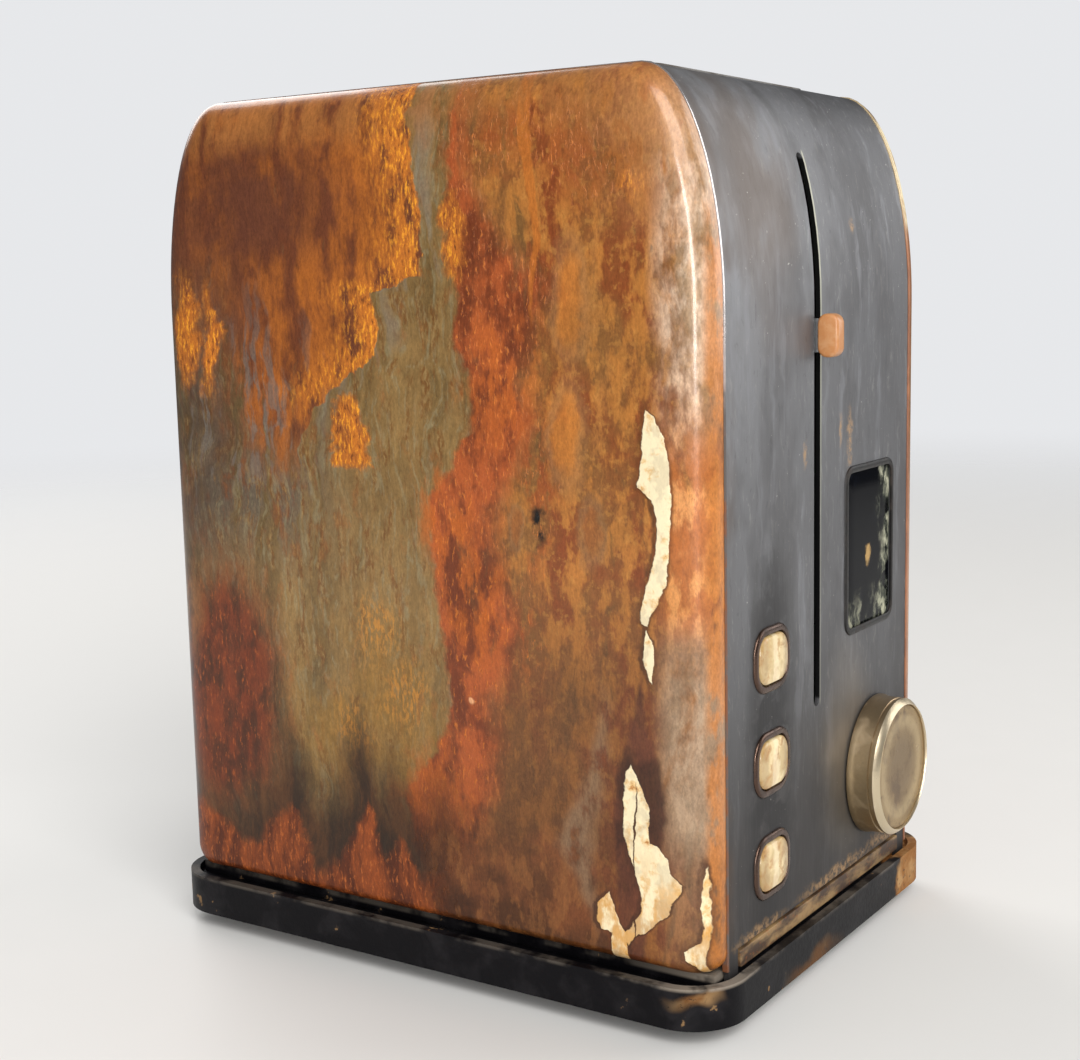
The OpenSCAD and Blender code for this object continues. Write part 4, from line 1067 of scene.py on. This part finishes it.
class MakeBase(Step, bpy.types.Operator):
    """Base with its rim and gutter, and the feet below it"""
    bl_idname = "toaster.base"
    bl_label = "Base and feet"

    def make(self):
        base = softened("base", "base", 0.6)
        stand_in(base, base_finish(), "casing", "base")
        self.feet()

    def feet(self):
        reach, centre = size("feet"), middle("feet")
        foot_top, stem_top = low("bottom_plate").z, high("feet").z
        r, stem = 7 * MM, 2.5 * MM
        profile = [(0, 0.5 * MM), (r * 0.55, 0.5 * MM), (r * 0.62, 0), (r - 1.6 * MM, 0),
                   (r - 1.0 * MM, 0.4 * MM), (r, foot_top - 0.5 * MM), (r - 0.4 * MM, foot_top),
                   (stem, foot_top), (stem, stem_top - 0.3 * MM), (stem - 0.3 * MM, stem_top),
                   (0, stem_top)]
        feet = []
        for sx, sy in ((-1, -1), (-1, 1), (1, -1), (1, 1)):
            at = Vector((centre.x + sx * (reach.x / 2 - r), centre.y + sy * (reach.y / 2 - r), 0))
            feet.append(loft("foot", disc_rings(at, profile, 40, True)))
        finish = moulded("black rubber", "201f1f", 0.7, 2.5, "4a443c", 0.5)
        stand_in(join("rubber_feet", feet), finish, "casing", "feet")


class MakeLever(Step, bpy.types.Operator):
    """Tab on the end of the lever, rounded at its tip"""
    bl_idname = "toaster.lever"
    bl_label = "Lever tab"

    def make(self):
        centre = middle("lever_tab")
        wide, reach, tall = size("lever_tab")
        flat = rounded_rectangle(reach, tall, 2.4 * MM)
        rings = []
        for share, inset in ((-1, 0.7), (-0.93, 0.3), (-0.8, 0.05), (-0.6, 0), (0.6, 0),
                             (0.8, 0.05), (0.93, 0.3), (1, 0.7)):
            edge = 2 * inset * MM
            rings.append([centre + Vector((share * wide / 2, a * (1 - edge / reach),
                                           b * (1 - edge / tall))) for a, b in flat])
        ends = [[centre + Vector((side * wide / 2, 0, 0))] for side in (-1, 1)]
        tab = loft("lever_tab", [ends[0], *rings, ends[1]], 40)
        stand_in(tab, lever_finish(), "carriage", "lever_tab")


BUTTONS = (("top_button", "upper_button"), ("middle_button", "mid_button"),
           ("bottom_button", "lower_button"))


class MakeButtons(Step, bpy.types.Operator):
    """Crowned button caps with their flanges and stems, and the bezels around them"""
    bl_idname = "toaster.buttons"
    bl_label = "Buttons and bezels"

    def make(self):
        s = shape()
        ivory = cap_finish()
        bezels = []
        for node, body in BUTTONS:
            front, back = low(node).y, high(node).y
            centre, flange = middle(node), size(node)
            wide, tall = flange.x - 2.4 * MM, flange.z - 2.4 * MM
            corner, crown = s.button_corner, s.cap_crown
            flange_y, flange_back = FRONT + 2.3 * MM, FRONT + 3.3 * MM
            rows = [(0, 0, 0, front)]
            for share in (k / 7 for k in range(1, 7)):
                rows.append((wide * share, tall * share, corner * share, front + crown * share ** 2.6))
            rows += [(wide - 0.5 * MM, tall - 0.5 * MM, corner, front + crown * 0.95),
                     (wide, tall, corner, front + crown + 0.35 * MM), (wide, tall, corner, flange_y)]
            rows += [(flange.x, flange.z, corner + 1.2 * MM, y) for y in (flange_y, flange_back)]
            rows += [(3 * MM, 3 * MM, 1.5 * MM, y) for y in (flange_back, back)]
            cap = stacked(node, centre, rows + [(0, 0, 0, back)])
            stand_in(cap, ivory, body, node)
            bezels.append(self.bezel(centre, wide, tall, corner))
        finish = worn_metal("bronze bezel", colours().bezel, "1f1610", 0.24, 0.9, 4, 0.6)
        stand_in(join("button_bezels", bezels), finish, "casing", "button_bezels")

    def bezel(self, centre, wide, tall, corner):
        """A ring with a rounded lip, from its inner rear edge over the lip to its outer edge."""
        front, rear = low("button_bezels").y, high("button_bezels").y
        rows = []
        for out, y in ((0, rear), (0, FRONT), (0.05, front + 0.35 * MM), (0.25, front + 0.05 * MM),
                       (0.55, front), (1.2, front + 0.02 * MM), (1.6, front + 0.16 * MM),
                       (1.86, front + 0.4 * MM), (1.9, FRONT), (0.8, FRONT), (0.8, rear),
                       (0, rear)):
            grow = (0.25 + out) * MM
            rows.append((wide + 2 * grow, tall + 2 * grow, corner + grow, y))
        return stacked("bezel", centre, rows)


class MakeWindow(Step, bpy.types.Operator):
    """Window glass with eased edges, and the dark rim around it"""
    bl_idname = "toaster.window"
    bl_label = "Display window"

    def make(self):
        wide, _, tall = size("display_window")
        centre = middle("display_window")
        front, back = low("display_window").y, high("display_window").y
        rows = [(wide - 2 * inset * MM, tall - 2 * inset * MM, (3 - min(inset, 2)) * MM, y)
                for inset, y in ((6, front), (0.8, front + 0.02 * MM), (0.2, front + 0.12 * MM),
                                 (0, front + 0.35 * MM), (0, back))]
        glass = stacked("window_glass", centre, [(0, 0, 0, front), *rows, (0, 0, 0, back)], 30)
        stand_in(glass, window_finish(), "casing", "display_window")
        wide, _, tall = size("display_bezel")
        front = low("display_bezel").y
        rim = stacked("window_rim", centre, [
            (wide - 2 * inset * MM, tall - 2 * inset * MM, (4.3 - inset) * MM, y)
            for inset, y in ((1.8, FRONT), (1.78, front + 0.2 * MM), (1.5, front), (0.6, front),
                             (0.15, front + 0.15 * MM), (0, FRONT), (1.8, FRONT))])
        finish = worn_metal("dark window rim", "131110", "3a2c22", 0.4, 0.4, 4, 0.4)
        stand_in(rim, finish, "casing", "display_bezel")


class MakeDial(Step, bpy.types.Operator):
    """Browning dial with a flared skirt, a groove, a chamfer with a painted highlight and a recessed
    worn face with a painted highlight ring
    """
    bl_idname = "toaster.dial"
    bl_label = "Browning dial"

    def make(self):
        centre = middle("dial")
        front, back = low("dial").y, high("dial").y
        skirt = size("dial").x / 2
        r = skirt - 0.4 * MM
        face = size("dial_cap").x / 2
        bore, hub = 3.05 * MM, 6 * MM
        groove = shape().dial_groove
        recess, seat = low("dial_cap").y, high("dial_cap").y
        profile = [(0, seat), (face + 0.05 * MM, seat), (face + 0.05 * MM, recess),
                   (face + 0.1 * MM, front + 0.25 * MM),
                   (face + 0.25 * MM, front), (r - 1.5 * MM, front), (r - 1.3 * MM, front + 0.06 * MM),
                   (r - 0.3 * MM, front + 1.1 * MM), (r, front + 1.5 * MM), (r, front + 2.3 * MM),
                   (r - groove, front + 2.5 * MM), (r - groove, front + 2.8 * MM),
                   (r, front + 3.0 * MM), (r, back - 2.2 * MM),
                   (r + 0.15 * MM, back - 1.2 * MM), (skirt, back - 0.5 * MM), (skirt, back),
                   (r - 1.6 * MM, back), (r - 2 * MM, back - 0.4 * MM), (r - 2 * MM, seat + 2 * MM),
                   (hub, seat + 2 * MM), (hub, back), (bore, back), (bore, seat + 2 * MM),
                   (0, seat + 2 * MM)]
        knob = loft("dial", disc_rings(centre, profile, 96), 30)
        stand_in(knob, dial_finish("champagne dial", False), "dial_knob", "dial")
        cap = loft("dial_face", disc_rings(centre, [
            (0, recess + 0.25 * MM), (face * 0.5, recess + 0.2 * MM),
            (face * 0.85, recess + 0.1 * MM), (face - 0.3 * MM, recess),
            (face, recess + 0.2 * MM), (face, seat), (0, seat)], 96), 30)
        stand_in(cap, dial_finish("worn dial face", True), "dial_knob", "dial_cap")


class MakeTray(Step, bpy.types.Operator):
    """Crumb tray and its tan lip below the front panel"""
    bl_idname = "toaster.tray"
    bl_label = "Crumb tray"

    def make(self):
        lip = softened("tray_lip", "tray_lip", 0.35)
        stand_in(lip, lip_finish(), "tray", "tray_lip")
        tray = softened("crumb_tray", "crumb_tray", 0.2)
        finish = worn_metal("tarnished tray", "7d7162", "4c3826", 0.42, 0.8, 12, 0.8)
        stand_in(tray, finish, "tray", "crumb_tray")


class MakeRear(Step, bpy.types.Operator):
    """Cord bush and the screws of the rear wall"""
    bl_idname = "toaster.rear"
    bl_label = "Rear fittings"

    def make(self):
        centre = middle("cord_bush")
        flange = size("cord_bush").x / 2
        bore = flange - 3.5 * MM
        neck = bore + 1.5 * MM
        front, rear = low("cord_bush").y, high("cord_bush").y
        bush = loft("cord_bush", disc_rings(centre, [
            (bore, front), (bore, rear - 0.8 * MM), (bore + 0.4 * MM, rear - 0.2 * MM),
            (bore + 1.0 * MM, rear), (flange - 0.9 * MM, rear), (flange - 0.2 * MM, rear - 0.35 * MM),
            (flange, rear - 0.9 * MM), (flange, REAR), (neck, REAR), (neck, front), (bore, front)],
            48), 40)
        finish = moulded("black bush", "1e1d1d", 0.55, 2.0, "4a4038", 0.4)
        stand_in(bush, finish, "casing", "cord_bush")
        screws = softened("rear_screws", "rear_screws", 0.25)
        finish = worn_metal("screw steel", "a8a39a", "6a4022", 0.35, 0.95, 2.5, 0.8)
        stand_in(screws, finish, "casing", "rear_screws")


class MakeSpring(Step, bpy.types.Operator):
    """Lift spring under the carriage, a coil of wire, made at one length"""
    bl_idname = "toaster.spring"
    bl_label = "Lift spring"

    def make(self):
        s = shape()
        foot, head, centre = low("lift_spring"), high("lift_spring"), middle("lift_spring")
        wire = s.spring_wire / 2
        radius = (head.x - foot.x) / 2 - wire
        deselect()
        bpy.ops.mesh.primitive_circle_add(vertices=8, radius=wire, rotation=(math.pi / 2, 0, 0),
                                          location=(radius, 0, 0))
        bpy.ops.object.transform_apply(location=True, rotation=True)
        spring = bpy.context.object
        spring.name = "lift_spring"
        modify(spring, "SCREW", screw_offset=(head.z - foot.z - 2 * wire) / s.spring_turns,
               iterations=s.spring_turns, steps=16, render_steps=16)
        bpy.ops.object.mode_set(mode="EDIT")
        bpy.ops.mesh.select_all(action="SELECT")
        bpy.ops.mesh.fill_holes(sides=8)
        bpy.ops.mesh.select_all(action="SELECT")
        bpy.ops.mesh.normals_make_consistent(inside=False)
        bpy.ops.object.mode_set(mode="OBJECT")
        spring.location = (centre.x, centre.y, foot.z + wire)
        bpy.ops.object.transform_apply(location=True)
        smooth(spring, 50)
        use(worn_metal("spring steel", "9a978f", "5c4a3a", 0.3, 1.0, 5, 0.6), spring)
        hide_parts("lift_spring")
        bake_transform(spring)


class FinishWorks(Step, bpy.types.Operator):
    """Finishes of the pieces that keep their own shapes"""
    bl_idname = "toaster.works"
    bl_label = "Works"

    # Name, colour, tarnish, roughness, metal, span of the blots, share and the nodes
    METALS = (
        ("bright wire", "b0aca4", "6b5844", 0.3, 1.0, 9, 0.7,
         "left_slot_outer_guard left_slot_inner_guard right_slot_inner_guard"
         " right_slot_outer_guard left_rack right_rack guide_rail"),
        ("zinc plate", "a9abac", "77706a", 0.36, 0.95, 8, 0.5,
         "carriage_plate lever_arm rail_brackets dial_shaft dial_bush"),
        ("element ribbon", "6d6660", "3c3431", 0.45, 0.9, 6, 0.6, "element_ribbons"),
        ("bronze bush", "9c7a4a", "5a4428", 0.4, 0.95, 4, 0.5, "carriage_bush"),
        ("bare core", "6f6d6c", "54402f", 0.45, 0.9, 3, 0.7, "armature solenoid_yoke"),
        ("potentiometer can", "9a9c9e", "6e675c", 0.32, 0.95, 4, 0.5, "potentiometer"),
        ("black plate", "26252a", "5a3c22", 0.5, 0.4, 14, 0.5, "bottom_plate"),
        ("base screw", "9c968c", "5e3c22", 0.35, 0.95, 2.5, 0.8, "base_screws"))
    # Name, colour, roughness, span of the grime, its colour, its share, coat and the nodes
    MOULDINGS = (
        ("coil tape", "8a4a20", 0.35, 1.6, "4a2812", 0.5, 0.4, "solenoid_coil"),
        ("ivory moulding", "cfc4a6", 0.45, 3, "8a7a58", 0.5, 0, "mains_switch terminal_block"),
        ("black moulding", "1d1d1f", 0.45, 2.5, "3a3836", 0.4, 0, "tact_switches display_module"),
        ("grey moulding", "6a6a68", 0.5, 2.5, "4a4844", 0.4, 0, "board_standoffs"))

    def make(self):
        sheet = worn_metal("aluminised sheet", "b5b3ad", "7a6a56", 0.38, 0.9, 22, 0.6, (1, 1, 0.05))
        use(sheet, "front_bulkhead", "rear_bulkhead", "left_heat_shield", "right_heat_shield")
        use(mica_finish(), "left_element_card", "centre_element_card", "right_element_card")
        use(board_finish(), "button_board", "display_board")
        for make, rows in ((worn_metal, self.METALS), (moulded, self.MOULDINGS)):
            for *given, nodes in rows:
                use(make(*given), *nodes.split())


class MakeStage(Step, bpy.types.Operator):
    """Pale floor, soft lamps and the camera"""
    bl_idname = "toaster.stage"
    bl_label = "Stage"

    # Name, place, aim, width and height in m, power in W
    LAMPS = (("key", (-0.75, -0.95, 1.05), (0, 0, 0.12), (0.9, 0.9), 16),
             ("roll light", (-1.14, -0.72, 0.34), (0, 0, 0.16), (0.16, 0.55), 8),
             ("front fill", (1.05, -0.95, 0.6), (0, 0, 0.12), (1.0, 1.0), 8),
             ("rear", (0.5, 1.1, 0.9), (0, 0, 0.15), (0.9, 0.9), 8))

    def make(self):
        self.floor()
        self.world()
        for name, place, aim, wide, power in self.LAMPS:
            self.lamp(name, Vector(place), Vector(aim), wide, power)
        self.camera()

    def floor(self):
        """A floor that fades into the backdrop."""
        deselect()
        bpy.ops.mesh.primitive_plane_add(size=12, location=(0, 0, 0))
        floor = bpy.context.object
        floor.name = "floor"
        finish = Finish("pale floor", colours().floor, rough=0.6)
        finish.set("Roughness", finish.noise(18, 2) * 0.1 + 0.55)
        away = finish.vector("LENGTH", finish.mm, output=1)
        clear = finish.tree.nodes.new("ShaderNodeBsdfTransparent")
        fade = finish.node("ShaderNodeMixShader", {}, {0: away.step(450, 1500)})
        finish.tree.links.new(finish.shader.outputs[0], fade.socket.node.inputs[1])
        finish.tree.links.new(clear.outputs[0], fade.socket.node.inputs[2])
        finish.tree.links.new(fade.socket, finish.tree.nodes["Material Output"].inputs["Surface"])
        use(finish, floor)

    def world(self):
        """A pale studio that reflections see dimmer than diffuse light does."""
        world = bpy.data.worlds.new("studio")
        bpy.context.scene.world = world
        world.use_nodes = True
        tree = world.node_tree
        backdrop = tree.nodes["Background"]
        backdrop.inputs["Color"].default_value = (0.92, 0.93, 0.95, 1)
        seen = tree.nodes.new("ShaderNodeBackground")
        seen.inputs["Color"].default_value = (0.84, 0.85, 0.87, 1)
        seen.inputs["Strength"].default_value = 0.95
        ray = tree.nodes.new("ShaderNodeLightPath")
        dim = tree.nodes.new("ShaderNodeMath")
        dim.operation = "MULTIPLY_ADD"
        dim.inputs[1].default_value = -0.32
        dim.inputs[2].default_value = 0.42
        chooser = tree.nodes.new("ShaderNodeMixShader")
        for start, end in ((ray.outputs["Is Glossy Ray"], dim.inputs[0]),
                           (dim.outputs[0], backdrop.inputs["Strength"]),
                           (ray.outputs["Is Camera Ray"], chooser.inputs[0]),
                           (backdrop.outputs[0], chooser.inputs[1]),
                           (seen.outputs[0], chooser.inputs[2]),
                           (chooser.outputs[0], tree.nodes["World Output"].inputs["Surface"])):
            tree.links.new(start, end)

    def lamp(self, name, place, aim, wide, power):
        deselect()
        bpy.ops.object.light_add(type="AREA", location=place)
        lamp = bpy.context.object
        lamp.name = name
        lamp.data.shape = "RECTANGLE"
        lamp.data.size, lamp.data.size_y = wide
        lamp.data.energy = power
        lamp.rotation_euler = (place - aim).to_track_quat("Z", "Y").to_euler()

    def camera(self):
        v = bpy.context.scene.toaster_view
        deselect()
        bpy.ops.object.camera_add()
        camera = bpy.context.object
        camera.name = "camera"
        az, el, roll = v.azimuth, v.elevation, v.roll
        back = Vector((math.sin(az) * math.cos(el), -math.cos(az) * math.cos(el), math.sin(el)))
        level = Vector((math.cos(az), math.sin(az), 0))
        upright = back.cross(level)
        right = level * math.cos(roll) + upright * math.sin(roll)
        up = upright * math.cos(roll) - level * math.sin(roll)
        aim = Vector((0, (FRONT + REAR) / 2, (high("feet").z - 2.6 * MM + TOP) / 2))
        place = aim + (back - right * v.aside - up * v.above) * v.distance
        turned = Matrix((right, up, back)).transposed().to_4x4()
        camera.matrix_world = Matrix.Translation(place) @ turned
        camera.data.sensor_width = 36
        camera.data.lens = v.lens
        camera.data.clip_start = 0.01
        bpy.context.scene.camera = camera


class ToasterPanel(bpy.types.Panel):
    """Lists the steps that build the toaster"""
    bl_idname = "VIEW3D_PT_toaster"
    bl_label = "Toaster"
    bl_space_type = "VIEW_3D"
    bl_region_type = "UI"
    bl_category = "Toaster"

    def draw(self, context):
        for operator in OPERATORS:
            self.layout.operator(operator.bl_idname)
        for group in (context.scene.toaster_shape, context.scene.toaster_colours,
                      context.scene.toaster_view):
            column = self.layout.column(align=True)
            for name in group.__annotations__:
                column.prop(group, name)


GROUPS = (("toaster_shape", ToasterShape), ("toaster_colours", ToasterColours),
          ("toaster_view", ToasterView))
OPERATORS = (MakeStage, MakeSidePanels, MakeCover, MakeBase, MakeLever, MakeButtons, MakeWindow,
             MakeDial, MakeTray, MakeRear, MakeSpring, FinishWorks)


def register():
    for name, group in GROUPS:
        bpy.utils.register_class(group)
        setattr(bpy.types.Scene, name, PointerProperty(type=group))
    for kind in OPERATORS + (ToasterPanel,):
        bpy.utils.register_class(kind)


def unregister():
    for kind in reversed(OPERATORS + (ToasterPanel,)):
        bpy.utils.unregister_class(kind)
    for name, group in reversed(GROUPS):
        delattr(bpy.types.Scene, name)
        bpy.utils.unregister_class(group)


def main():
    register()
    bpy.context.scene.view_settings.view_transform = "Standard"
    for operator in OPERATORS:
        group, name = operator.bl_idname.split(".")
        getattr(getattr(bpy.ops, group), name)()


if __name__ == "__main__":
    main()
